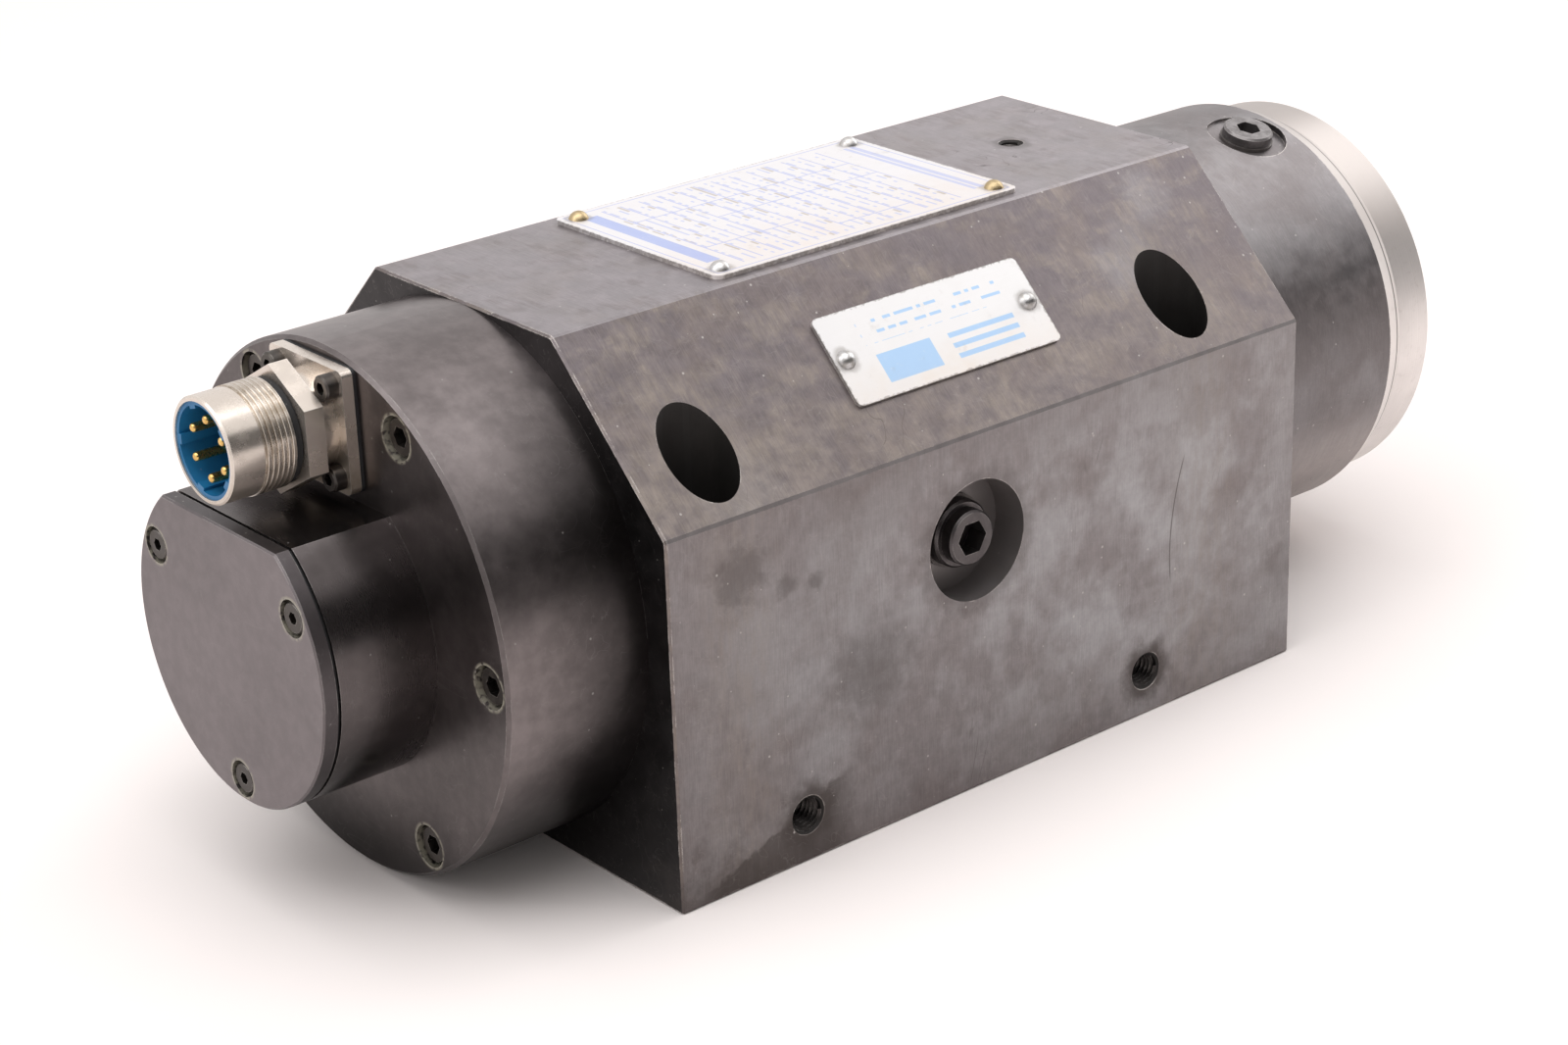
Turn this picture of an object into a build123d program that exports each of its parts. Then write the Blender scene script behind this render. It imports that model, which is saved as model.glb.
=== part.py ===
"""Motor spindle in a chamfered clamping block, in millimetres with +Z up.

The origin is the middle of the flat base. The spindle axis lies along +X towards the nose,
at axis_height above the base. The rear housing, the encoder housing and the power connector
are at the -X end.
"""
import os
from math import cos, radians, sin, sqrt, tan

from build123d import *

os.makedirs("parts", exist_ok=True)

# Clamping block
block_length = 188.0
block_width = 134.0
block_height = 120.0
block_chamfer = 35.0
edge_break = 0.5
stator_bore_dia = 84.0
stator_bore_depth = 160.0
shoulder_bore_dia = 72.0

# Clamping holes, vertical, sunk through the chamfers
clamp_hole_dia = 11.0
clamp_counterbore_dia = 16.8
clamp_seat_height = 35.0
clamp_spacing_x = 139.0
clamp_edge_distance = 11.3
clamp_from_rear = 18.2

# Tapped holes, two low on each side and one on top
side_thread_dia = 8.0
side_thread_depth = 16.0
side_thread_height = 11.0
side_thread_from_rear = 35.0
side_thread_spacing = 103.5
lift_thread_dia = 5.0
lift_thread_depth = 12.0
lift_thread_from_front = 27.7
thread_mouth_chamfer = 0.6

# Coolant ports with blanking plugs, one on each side at axis height
port_from_rear = 85.4
port_recess_dia = 28.0
port_recess_depth = 9.0
port_thread_dia = 13.2
port_thread_length = 8.0
port_channel_dia = 8.0
port_seal_dia = 17.0
port_seal_thickness = 1.0
plug_collar_dia = 15.6
plug_collar_height = 3.2
plug_head_dia = 12.8
plug_head_height = 3.2
plug_shank_length = 7.0
plug_socket_size = 7.2
plug_socket_depth = 5.0
plug_edge = 0.5

# Turned nose and its lubrication port
nose_dia = 104.5
nose_length = 51.8
nose_port_from_end = 11.4
nose_port_angle = 15.0
nose_spotface_dia = 20.0
nose_spotface_depth = 1.7
nose_port_thread_dia = 8.0
nose_port_thread_length = 6.0
nose_port_channel_dia = 2.5
nose_seal_dia = 13.2
nose_seal_thickness = 0.8
nose_plug_head_dia = 12.4
nose_plug_head_height = 2.6
nose_plug_shank_length = 5.0
nose_plug_socket_size = 5.4
nose_plug_socket_depth = 4.0

# Front cover and labyrinth ring
cover_thickness = 6.4
cover_front_dia = 99.6
cover_bore_dia = 63.6
cover_spigot_length = 2.8
cover_lip_dia = 73.0
cover_screw_circle = 90.0
cover_screw_count = 6
labyrinth_gap = 0.5
labyrinth_dia = 98.6
labyrinth_width = 11.6
labyrinth_edge = 0.8
labyrinth_rib_dia = 74.0
labyrinth_rib_width = 3.0
labyrinth_rib_height = 2.2
labyrinth_rib_clearance = 0.6
labyrinth_dish_dia = 72.0
labyrinth_dish_depth = 4.6
labyrinth_screw_circle = 55.0
labyrinth_screw_count = 6

# Front bearing pair
front_bearing_bore = 50.0
front_bearing_outside = 80.0
front_bearing_width = 16.0
front_ring_wall = 5.3
front_ball_dia = 8.7
front_ball_count = 18
front_spacer_width = 10.0

# Rear bearing
rear_bearing_bore = 30.0
rear_bearing_outside = 55.0
rear_bearing_width = 13.0
rear_ring_wall = 4.4
rear_ball_dia = 6.7
rear_ball_count = 16

# Running clearances of the balls
race_clearance = 0.1
cage_clearance = 0.5
pocket_clearance = 0.2
cage_rim = 1.2

# Shaft
shaft_flange_dia = 62.0
shaft_pilot_dia = 48.0
shaft_body_dia = 44.0
front_nut_thread_dia = 49.0
rotor_seat_dia = 32.0
rear_nut_thread_dia = 29.0
wheel_shoulder_dia = 22.0
wheel_shoulder_length = 8.0
wheel_seat_dia = 16.0
shaft_drill_dia = 13.0
shaft_drill_depth = 70.0

# Collet and its nut
collet_thread_dia = 32.0
collet_thread_length = 12.0
collet_cone_dia = 25.6
collet_half_angle = 8.0
collet_seated_length = 27.0
collet_front_length = 6.0
collet_rim_length = 2.0
collet_front_angle = 30.0
collet_shank_dia = 12.0
collet_slit_width = 1.0
collet_slit_count = 4
collet_slit_end = 7.0
nut_dia = 42.0
nut_length = 19.0
nut_setback = 0.6
nut_thread_end_gap = 0.4
nut_slot_width = 5.0
nut_slot_depth = 2.4
nut_slot_count = 6
nut_edge = 1.2
nut_clearance = 0.1

# Lock nuts
front_nut_dia = 66.0
front_nut_width = 10.0
rear_nut_dia = 40.0
rear_nut_width = 9.0
lock_slot_width = 6.0
lock_slot_depth = 2.5
lock_slot_count = 4

# Motor
motor_length = 90.0
stator_dia = 74.0
stator_inner_dia = 46.0
stator_slots = 18
slot_width = 4.0
slot_depth = 8.0
slot_lip = 1.4
winding_clearance = 0.1
end_turn_length = 17.0
end_turn_inner_dia = 47.6
end_turn_outer_dia = 70.0
end_turn_edge = 3.0
air_gap = 0.4
rotor_end_ring_width = 5.0
rotor_end_ring_step = 0.4
sleeve_wall = 4.0
jacket_length = 130.0
jacket_groove_width = 9.0
jacket_groove_depth = 3.0
jacket_groove_pitch = 15.0
jacket_groove_count = 5
seal_groove_width = 3.6
seal_groove_depth = 2.4
seal_width = 3.0
seal_inset = 6.0

# Rear housing and bearing bush
rear_housing_setback = 0.5
rear_housing_length = 35.4
rear_housing_edge = 0.8
rear_spigot_length = 12.0
rear_cavity_dia = 78.0
rear_wall = 4.0
rear_wall_bore_dia = 44.0
rear_screw_edge = 6.3
rear_screw_count = 6
bush_dia = 66.0
bush_length = 24.0
bush_shoulder = 3.0
bush_shoulder_bore_dia = 49.0
bush_clip_width = 3.0
spring_height = 1.4
spring_thickness = 0.9
spring_clearance = 0.5
spring_band = 6.5

# Encoder housing on the rear face
drum_dia = 70.4
drum_length = 23.4
drum_bore_dia = 60.0
drum_flange_gap = 2.8
drum_flat_wall = 4.5
drum_foot = 4.0
drum_screw_circle = 54.0
drum_screw_count = 4
drum_screw_reach = 3.5
gasket_thickness = 0.8
gasket_setback = 0.7
lid_thickness = 3.4
lid_edge = 0.4
lid_screw_circle = 60.4
lid_screw_count = 3
lid_boss_dia = 9.6
encoder_wheel_dia = 40.0
encoder_wheel_width = 6.0
encoder_teeth = 48
encoder_tooth_depth = 1.4
encoder_tooth_gap = 1.3
wheel_washer_dia = 24.0
wheel_washer_thickness = 1.2
read_head_gap = 0.6
read_head_width = 14.0
read_head_length = 9.0
read_head_height = 6.0

# Power connector
connector_height = 44.0
connector_gasket_thickness = 0.8
flange_size = 27.0
flange_corner = 1.6
flange_thickness = 2.6
flange_neck_dia = 22.0
flange_neck_length = 4.1
flange_screw_spacing = 19.8
shell_tail_dia = 18.0
shell_tail_length = 6.0
shell_hex_size = 24.6
shell_hex_length = 4.5
shell_seal_dia = 22.6
shell_seal_seat_dia = 20.4
shell_seal_width = 2.0
shell_thread_dia = 23.4
shell_thread_length = 7.2
shell_thread_count = 6
shell_thread_depth = 0.4
shell_nose_dia = 23.0
shell_nose_length = 7.8
shell_mouth_dia = 20.8
shell_mouth_depth = 14.0
shell_bore_dia = 16.0
insert_wall = 0.9
insert_floor = 1.2
insert_setback = 0.4
insert_tail_length = 10.0
key_width = 2.2
key_height = 0.8
key_count = 5
pin_dia = 2.0
pin_tip = 0.7
pin_circle = 12.6
pin_count = 6
pin_setback = 1.0
pin_length = 20.0
wiring_bore_dia = 15.0
wiring_end_wall = 1.0

# Socket head screws: thread, head diameter, head height, socket, counterbore
m3 = (3.0, 5.5, 3.0, 2.5, 6.2)
m4 = (4.0, 7.0, 4.0, 3.0, 7.8)
m4_low = (4.0, 7.0, 2.0, 2.5, 8.2)
m5 = (5.0, 8.5, 5.0, 4.0, 9.6)
head_recess = 1.0
lid_head_recess = 0.3
thread_engagement = 1.5
socket_share = 0.55
screw_edge = 0.4

# Plates and rivets
rating_plate_length = 89.0
rating_plate_width = 58.4
rating_plate_thickness = 0.9
rating_plate_from_rear = 90.6
rating_plate_corner = 2.5
rating_rivet_inset = 4.2
name_plate_length = 60.0
name_plate_width = 22.0
name_plate_thickness = 0.8
name_plate_from_rear = 90.4
name_plate_corner = 1.6
name_rivet_inset = 3.2
rivet_dia = 4.6
rivet_height = 1.8
rivet_shank_dia = 2.0
rivet_shank_length = 5.0

# Winding leads
lead_dia = 3.0
lead_spacing = 3.4
lead_count = 3
lead_bend = 10.0
lead_straight_length = 16.0
lead_passage_height = 40.6
lead_end_height = 33.5
lead_inside_block = 4.0
lead_before_bush_end = 0.5

# Sizes and places that follow from the sizes above
axis_height = block_height / 2
rear_housing_dia = block_height - 2 * rear_housing_setback
rear_screw_circle = rear_housing_dia - 2 * rear_screw_edge
clamp_spacing_y = block_width - 2 * clamp_edge_distance
drum_flat_height = connector_height - flange_size / 2 - drum_flange_gap
front_inner_land_dia = front_bearing_bore + 2 * front_ring_wall
front_outer_land_dia = front_bearing_outside - 2 * front_ring_wall
rear_inner_land_dia = rear_bearing_bore + 2 * rear_ring_wall
rear_outer_land_dia = rear_bearing_outside - 2 * rear_ring_wall
spring_outer_dia = bush_dia - 2 * spring_clearance
spring_inner_dia = spring_outer_dia - 2 * spring_band
rear_x = -block_length / 2
front_x = block_length / 2
stator_bore_end_x = rear_x + stator_bore_depth
nose_end_x = front_x + nose_length
cover_front_x = nose_end_x + cover_thickness
labyrinth_rear_x = cover_front_x + labyrinth_gap
labyrinth_front_x = labyrinth_rear_x + labyrinth_width
dish_floor_x = labyrinth_front_x - labyrinth_dish_depth
shaft_end_x = dish_floor_x + collet_thread_length
stack_front_x = nose_end_x - cover_spigot_length
spacer_front_x = stack_front_x - front_bearing_width
spacer_rear_x = spacer_front_x - front_spacer_width
stack_rear_x = spacer_rear_x - front_bearing_width
front_nut_rear_x = stack_rear_x - front_nut_width
rotor_front_x = motor_length / 2 + rotor_end_ring_width
rear_face_x = rear_x - rear_housing_length
rear_wall_x = rear_face_x + rear_wall
bush_rear_x = rear_wall_x + spring_height
bush_front_x = bush_rear_x + bush_length
rear_bearing_rear_x = bush_rear_x + bush_shoulder
rear_bearing_front_x = rear_bearing_rear_x + rear_bearing_width
rear_nut_rear_x = rear_bearing_rear_x - rear_nut_width
wheel_front_x = rear_nut_rear_x - wheel_shoulder_length
wheel_rear_x = wheel_front_x - encoder_wheel_width
drum_end_x = rear_face_x - drum_length
gasket_end_x = drum_end_x - gasket_thickness
lid_end_x = gasket_end_x - lid_thickness
port_x = rear_x + port_from_rear
port_floor = block_width / 2 - port_recess_depth
clamp_centre_x = rear_x + clamp_from_rear + clamp_spacing_x / 2
side_thread_x = rear_x + side_thread_from_rear + side_thread_spacing / 2
nose_spot_radius = nose_dia / 2 - nose_spotface_depth
front_pitch_radius = (front_inner_land_dia + front_outer_land_dia) / 4
rear_pitch_radius = (rear_inner_land_dia + rear_outer_land_dia) / 4
slot_centre_radius = stator_inner_dia / 2 + slot_lip + slot_depth / 2

# Frames: the spindle axis, and a plane through it with x along it and y up from it
spindle_axis = Axis((0, 0, axis_height), (1, 0, 0))
axial_plane = Plane(origin=(0, 0, axis_height), x_dir=(1, 0, 0), z_dir=(0, -1, 0))


def across(x, facing=1):
    """Plane square to the axis at x, facing +X or -X: its x is +Y and its origin is on the axis."""
    return Plane(origin=(x, 0, axis_height), x_dir=(0, 1, 0), z_dir=(facing, 0, 0))


def side_plane(side, distance):
    """Plane that faces out of a side of the block, side -1 or 1, at a distance from the middle."""
    return Plane(origin=(0, side * distance, 0), x_dir=(1, 0, 0), z_dir=(0, side, 0))


def ring_places(x, diameter, count, first_angle=0, facing=1):
    """Planes on a bolt circle about the axis at x, the first at an angle in degrees from +Y."""
    places = []
    for index in range(count):
        angle = radians(first_angle + index * 360 / count)
        y = diameter / 2 * cos(angle)
        z = axis_height + diameter / 2 * sin(angle)
        places.append(Plane(origin=(x, y, z), x_dir=(0, 1, 0), z_dir=(facing, 0, 0)))
    return places


def turned(*outline):
    """Half section of a turned piece, from points of place along the axis and radius."""
    with BuildSketch(axial_plane) as section:
        with BuildLine():
            Polyline(*outline, close=True)
        make_face()
    return section.sketch


def tube(start, end, outside, inside):
    """Half section of a plain tube between two places on the axis, by its diameters."""
    return turned(
        (start, inside / 2), (end, inside / 2), (end, outside / 2), (start, outside / 2)
    )


def screw(size, length):
    """Socket head screw along Z, its head seat at zero height and its shank below."""
    thread, head, head_height, socket, _ = size
    with BuildPart() as one_screw:
        with BuildSketch(Plane.XY):
            Circle(head / 2)
        extrude(amount=head_height)
        chamfer(one_screw.edges().sort_by(Axis.Z)[-1], screw_edge)
        with BuildSketch(Plane.XY):
            Circle(thread / 2)
        extrude(amount=-length)
        chamfer(one_screw.edges().sort_by(Axis.Z)[0], screw_edge)
        with BuildSketch(Plane.XY.offset(head_height)):
            RegularPolygon(socket / 2, 6, major_radius=False)
        extrude(amount=-head_height * socket_share, mode=Mode.SUBTRACT)
    return one_screw.part


def rivet():
    """Domed rivet along Z, its head on the plane of zero height and its shank below."""
    dome_radius = (rivet_dia**2 / 4 + rivet_height**2) / (2 * rivet_height)
    side_height = dome_radius - rivet_height / 2
    side_point = (sqrt(dome_radius**2 - side_height**2), rivet_height / 2)
    with BuildPart() as one_rivet:
        with BuildSketch(Plane.XZ):
            with BuildLine():
                Line((0, rivet_height), (0, -rivet_shank_length))
                Line((0, -rivet_shank_length), (rivet_shank_dia / 2, -rivet_shank_length))
                Line((rivet_shank_dia / 2, -rivet_shank_length), (rivet_shank_dia / 2, 0))
                Line((rivet_shank_dia / 2, 0), (rivet_dia / 2, 0))
                ThreePointArc((rivet_dia / 2, 0), side_point, (0, rivet_height))
            make_face()
        revolve(axis=Axis.Z)
    return one_rivet.part


# Where the nose port, the plates and their rivets lie
port_out = Vector(0, -sin(radians(nose_port_angle)), cos(radians(nose_port_angle)))
nose_port_plane = Plane(
    origin=Vector(nose_end_x - nose_port_from_end, 0, axis_height) + port_out * nose_spot_radius,
    x_dir=(1, 0, 0),
    z_dir=port_out,
)
rating_plate_plane = Plane(
    origin=(rear_x + rating_plate_from_rear, 0, block_height), x_dir=(1, 0, 0), z_dir=(0, 0, 1)
)
name_plate_plane = Plane(
    origin=(
        rear_x + name_plate_from_rear,
        -(block_width - block_chamfer) / 2,
        block_height - block_chamfer / 2,
    ),
    x_dir=(1, 0, 0),
    z_dir=(0, -1, 1),
)
rating_rivet_spacing = (
    rating_plate_length - 2 * rating_rivet_inset,
    rating_plate_width - 2 * rating_rivet_inset,
)
name_rivet_spacing = name_plate_length - 2 * name_rivet_inset

# Clamping block with its turned nose
with BuildPart() as housing_block:
    with BuildSketch(Plane.YZ.offset(rear_x)):
        with BuildLine():
            Polyline(
                (-block_width / 2, 0),
                (block_width / 2, 0),
                (block_width / 2, block_height - block_chamfer),
                (block_width / 2 - block_chamfer, block_height),
                (-block_width / 2 + block_chamfer, block_height),
                (-block_width / 2, block_height - block_chamfer),
                close=True,
            )
        make_face()
    extrude(amount=block_length)
    chamfer(housing_block.edges(), edge_break)
    with BuildSketch(across(front_x)):
        Circle(nose_dia / 2)
    extrude(amount=nose_length)
    with BuildSketch(across(rear_x)):
        Circle(stator_bore_dia / 2)
    extrude(amount=stator_bore_depth, mode=Mode.SUBTRACT)
    with BuildSketch(across(stator_bore_end_x)):
        Circle(shoulder_bore_dia / 2)
    extrude(amount=stack_rear_x - stator_bore_end_x, mode=Mode.SUBTRACT)
    with BuildSketch(across(stack_rear_x)):
        Circle(front_bearing_outside / 2)
    extrude(amount=nose_end_x - stack_rear_x, mode=Mode.SUBTRACT)
    with BuildSketch(Plane.XY):
        with Locations((clamp_centre_x, 0)):
            with GridLocations(clamp_spacing_x, clamp_spacing_y, 2, 2):
                Circle(clamp_hole_dia / 2)
    extrude(amount=clamp_seat_height, mode=Mode.SUBTRACT)
    with BuildSketch(Plane.XY.offset(clamp_seat_height)):
        with Locations((clamp_centre_x, 0)):
            with GridLocations(clamp_spacing_x, clamp_spacing_y, 2, 2):
                Circle(clamp_counterbore_dia / 2)
    extrude(amount=block_height - clamp_seat_height, mode=Mode.SUBTRACT)
    with Locations(Plane.XY.offset(block_height)):
        with Locations((front_x - lift_thread_from_front, 0)):
            CounterSinkHole(
                lift_thread_dia / 2,
                lift_thread_dia / 2 + thread_mouth_chamfer,
                depth=lift_thread_depth,
                counter_sink_angle=90,
            )
    for side in (-1, 1):
        with Locations(side_plane(side, block_width / 2)):
            with Locations((side_thread_x, -side * side_thread_height)):
                with GridLocations(side_thread_spacing, 0, 2, 1):
                    CounterSinkHole(
                        side_thread_dia / 2,
                        side_thread_dia / 2 + thread_mouth_chamfer,
                        depth=side_thread_depth,
                        counter_sink_angle=90,
                    )
        for diameter, start, end in (
            (port_recess_dia, block_width / 2, port_floor),
            (port_thread_dia, port_floor, port_floor - port_thread_length),
            (port_channel_dia, port_floor - port_thread_length, shoulder_bore_dia / 2),
        ):
            with BuildSketch(side_plane(side, start)):
                with Locations((port_x, -side * axis_height)):
                    Circle(diameter / 2)
            extrude(amount=end - start, mode=Mode.SUBTRACT)
    with BuildSketch(nose_port_plane):
        Circle(nose_spotface_dia / 2)
    extrude(amount=2 * nose_spotface_depth, mode=Mode.SUBTRACT)
    with BuildSketch(nose_port_plane):
        Circle(nose_port_thread_dia / 2)
    extrude(amount=-nose_port_thread_length, mode=Mode.SUBTRACT)
    with BuildSketch(nose_port_plane):
        Circle(nose_port_channel_dia / 2)
    extrude(amount=front_bearing_outside / 2 - nose_spot_radius - 1, mode=Mode.SUBTRACT)
    with BuildSketch(*ring_places(rear_x, rear_screw_circle, rear_screw_count)):
        Circle(m5[0] / 2)
    extrude(amount=thread_engagement * m5[0], mode=Mode.SUBTRACT)
    with BuildSketch(*ring_places(nose_end_x, cover_screw_circle, cover_screw_count, facing=-1)):
        Circle(m4[0] / 2)
    extrude(amount=thread_engagement * m4[0], mode=Mode.SUBTRACT)
    with BuildSketch(rating_plate_plane):
        with GridLocations(*rating_rivet_spacing, 2, 2):
            Circle(rivet_shank_dia / 2)
    extrude(amount=rating_plate_thickness - rivet_shank_length, mode=Mode.SUBTRACT)
    with BuildSketch(name_plate_plane):
        with GridLocations(name_rivet_spacing, 0, 2, 1):
            Circle(rivet_shank_dia / 2)
    extrude(amount=name_plate_thickness - rivet_shank_length, mode=Mode.SUBTRACT)
housing_block.part.label = "housing_block"
export_step(housing_block.part, "parts/housing_block.step")

# Blanking plugs and seals of the coolant ports
with BuildPart() as port_seals:
    for side in (-1, 1):
        with BuildSketch(side_plane(side, port_floor)):
            with Locations((port_x, -side * axis_height)):
                Circle(port_seal_dia / 2)
                Circle(port_thread_dia / 2, mode=Mode.SUBTRACT)
        extrude(amount=port_seal_thickness)
port_seals.part.label = "port_seals"
export_step(port_seals.part, "parts/port_seals.step")


def blanking_plug(shank_dia, shank_length, steps, socket_size, socket_depth):
    """Hollow hexagon plug along Z, shank below zero height, steps of diameter and height above."""
    with BuildPart() as plug:
        with BuildSketch(Plane.XY):
            Circle(shank_dia / 2)
        extrude(amount=-shank_length)
        top = 0
        for diameter, height in steps:
            with BuildSketch(Plane.XY.offset(top)):
                Circle(diameter / 2)
            extrude(amount=height)
            top += height
            chamfer(plug.edges().filter_by(GeomType.CIRCLE).sort_by(Axis.Z)[-1], plug_edge)
        with BuildSketch(Plane.XY.offset(top)):
            RegularPolygon(socket_size / 2, 6, major_radius=False)
        extrude(amount=-socket_depth, mode=Mode.SUBTRACT)
    return plug.part


with BuildPart() as port_plugs:
    for side in (-1, 1):
        with Locations(side_plane(side, port_floor + port_seal_thickness)):
            with Locations((port_x, -side * axis_height)):
                add(
                    blanking_plug(
                        port_thread_dia,
                        plug_shank_length,
                        ((plug_collar_dia, plug_collar_height), (plug_head_dia, plug_head_height)),
                        plug_socket_size,
                        plug_socket_depth,
                    )
                )
port_plugs.part.label = "port_plugs"
export_step(port_plugs.part, "parts/port_plugs.step")

with BuildPart() as nose_port_seal:
    with BuildSketch(nose_port_plane):
        Circle(nose_seal_dia / 2)
        Circle(nose_port_thread_dia / 2, mode=Mode.SUBTRACT)
    extrude(amount=nose_seal_thickness)
nose_port_seal.part.label = "nose_port_seal"
export_step(nose_port_seal.part, "parts/nose_port_seal.step")

with BuildPart() as nose_port_plug:
    with Locations(nose_port_plane.offset(nose_seal_thickness)):
        add(
            blanking_plug(
                nose_port_thread_dia,
                nose_plug_shank_length,
                ((nose_plug_head_dia, nose_plug_head_height),),
                nose_plug_socket_size,
                nose_plug_socket_depth,
            )
        )
nose_port_plug.part.label = "nose_port_plug"
export_step(nose_port_plug.part, "parts/nose_port_plug.step")

# Plates and their rivets
with BuildPart() as rating_plate:
    with BuildSketch(rating_plate_plane):
        RectangleRounded(rating_plate_length, rating_plate_width, rating_plate_corner)
        with GridLocations(*rating_rivet_spacing, 2, 2):
            Circle(rivet_shank_dia / 2, mode=Mode.SUBTRACT)
    extrude(amount=rating_plate_thickness)
rating_plate.part.label = "rating_plate"
export_step(rating_plate.part, "parts/rating_plate.step")

with BuildPart() as rating_plate_rivets:
    with Locations(rating_plate_plane.offset(rating_plate_thickness)):
        with GridLocations(*rating_rivet_spacing, 2, 2):
            add(rivet())
rating_plate_rivets.part.label = "rating_plate_rivets"
export_step(rating_plate_rivets.part, "parts/rating_plate_rivets.step")

with BuildPart() as name_plate:
    with BuildSketch(name_plate_plane):
        RectangleRounded(name_plate_length, name_plate_width, name_plate_corner)
        with GridLocations(name_rivet_spacing, 0, 2, 1):
            Circle(rivet_shank_dia / 2, mode=Mode.SUBTRACT)
    extrude(amount=name_plate_thickness)
name_plate.part.label = "name_plate"
export_step(name_plate.part, "parts/name_plate.step")

with BuildPart() as name_plate_rivets:
    with Locations(name_plate_plane.offset(name_plate_thickness)):
        with GridLocations(name_rivet_spacing, 0, 2, 1):
            add(rivet())
name_plate_rivets.part.label = "name_plate_rivets"
export_step(name_plate_rivets.part, "parts/name_plate_rivets.step")

# Front cover, tapered outside, with the groove of the labyrinth
rib_inner = (labyrinth_rib_dia - labyrinth_rib_width) / 2
rib_outer = (labyrinth_rib_dia + labyrinth_rib_width) / 2
groove_depth = labyrinth_rib_height - labyrinth_gap + labyrinth_rib_clearance
cover_head_depth = m4[2] + screw_edge
with BuildPart() as front_cover:
    revolve(
        turned(
            (stack_front_x, cover_lip_dia / 2),
            (stack_front_x, front_bearing_outside / 2),
            (nose_end_x, front_bearing_outside / 2),
            (nose_end_x, nose_dia / 2),
            (cover_front_x, cover_front_dia / 2),
            (cover_front_x, rib_outer + labyrinth_rib_clearance),
            (cover_front_x - groove_depth, rib_outer + labyrinth_rib_clearance),
            (cover_front_x - groove_depth, rib_inner - labyrinth_rib_clearance),
            (cover_front_x, rib_inner - labyrinth_rib_clearance),
            (cover_front_x, cover_bore_dia / 2),
            (nose_end_x, cover_bore_dia / 2),
            (nose_end_x, cover_lip_dia / 2),
        ),
        axis=spindle_axis,
    )
    with BuildSketch(*ring_places(nose_end_x, cover_screw_circle, cover_screw_count)):
        Circle(m4[0] / 2)
    extrude(amount=cover_thickness, mode=Mode.SUBTRACT)
    with BuildSketch(
        *ring_places(cover_front_x, cover_screw_circle, cover_screw_count, facing=-1)
    ):
        Circle(m4[4] / 2)
    extrude(amount=cover_head_depth, mode=Mode.SUBTRACT)
front_cover.part.label = "front_cover"
export_step(front_cover.part, "parts/front_cover.step")

with BuildPart() as front_cover_screws:
    seat_x = cover_front_x - cover_head_depth
    with Locations(*ring_places(seat_x, cover_screw_circle, cover_screw_count)):
        add(screw(m4, seat_x - nose_end_x + thread_engagement * m4[0]))
front_cover_screws.part.label = "front_cover_screws"
export_step(front_cover_screws.part, "parts/front_cover_screws.step")

# Labyrinth ring, which turns with the shaft
with BuildPart() as labyrinth_ring:
    revolve(
        turned(
            (labyrinth_rear_x, shaft_pilot_dia / 2),
            (labyrinth_rear_x, rib_inner),
            (labyrinth_rear_x - labyrinth_rib_height, rib_inner),
            (labyrinth_rear_x - labyrinth_rib_height, rib_outer),
            (labyrinth_rear_x, rib_outer),
            (labyrinth_rear_x, labyrinth_dia / 2),
            (labyrinth_front_x - labyrinth_edge, labyrinth_dia / 2),
            (labyrinth_front_x, labyrinth_dia / 2 - labyrinth_edge),
            (labyrinth_front_x, labyrinth_dish_dia / 2),
            (dish_floor_x, labyrinth_dish_dia / 2),
            (dish_floor_x, shaft_pilot_dia / 2),
        ),
        axis=spindle_axis,
    )
    with BuildSketch(*ring_places(labyrinth_rear_x, labyrinth_screw_circle, labyrinth_screw_count)):
        Circle(m4[0] / 2)
    extrude(amount=labyrinth_width, mode=Mode.SUBTRACT)
labyrinth_ring.part.label = "labyrinth_ring"
export_step(labyrinth_ring.part, "parts/labyrinth_ring.step")

with BuildPart() as labyrinth_screws:
    with Locations(*ring_places(dish_floor_x, labyrinth_screw_circle, labyrinth_screw_count)):
        add(screw(m4, dish_floor_x - labyrinth_rear_x + thread_engagement * m4[0]))
labyrinth_screws.part.label = "labyrinth_screws"
export_step(labyrinth_screws.part, "parts/labyrinth_screws.step")

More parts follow.
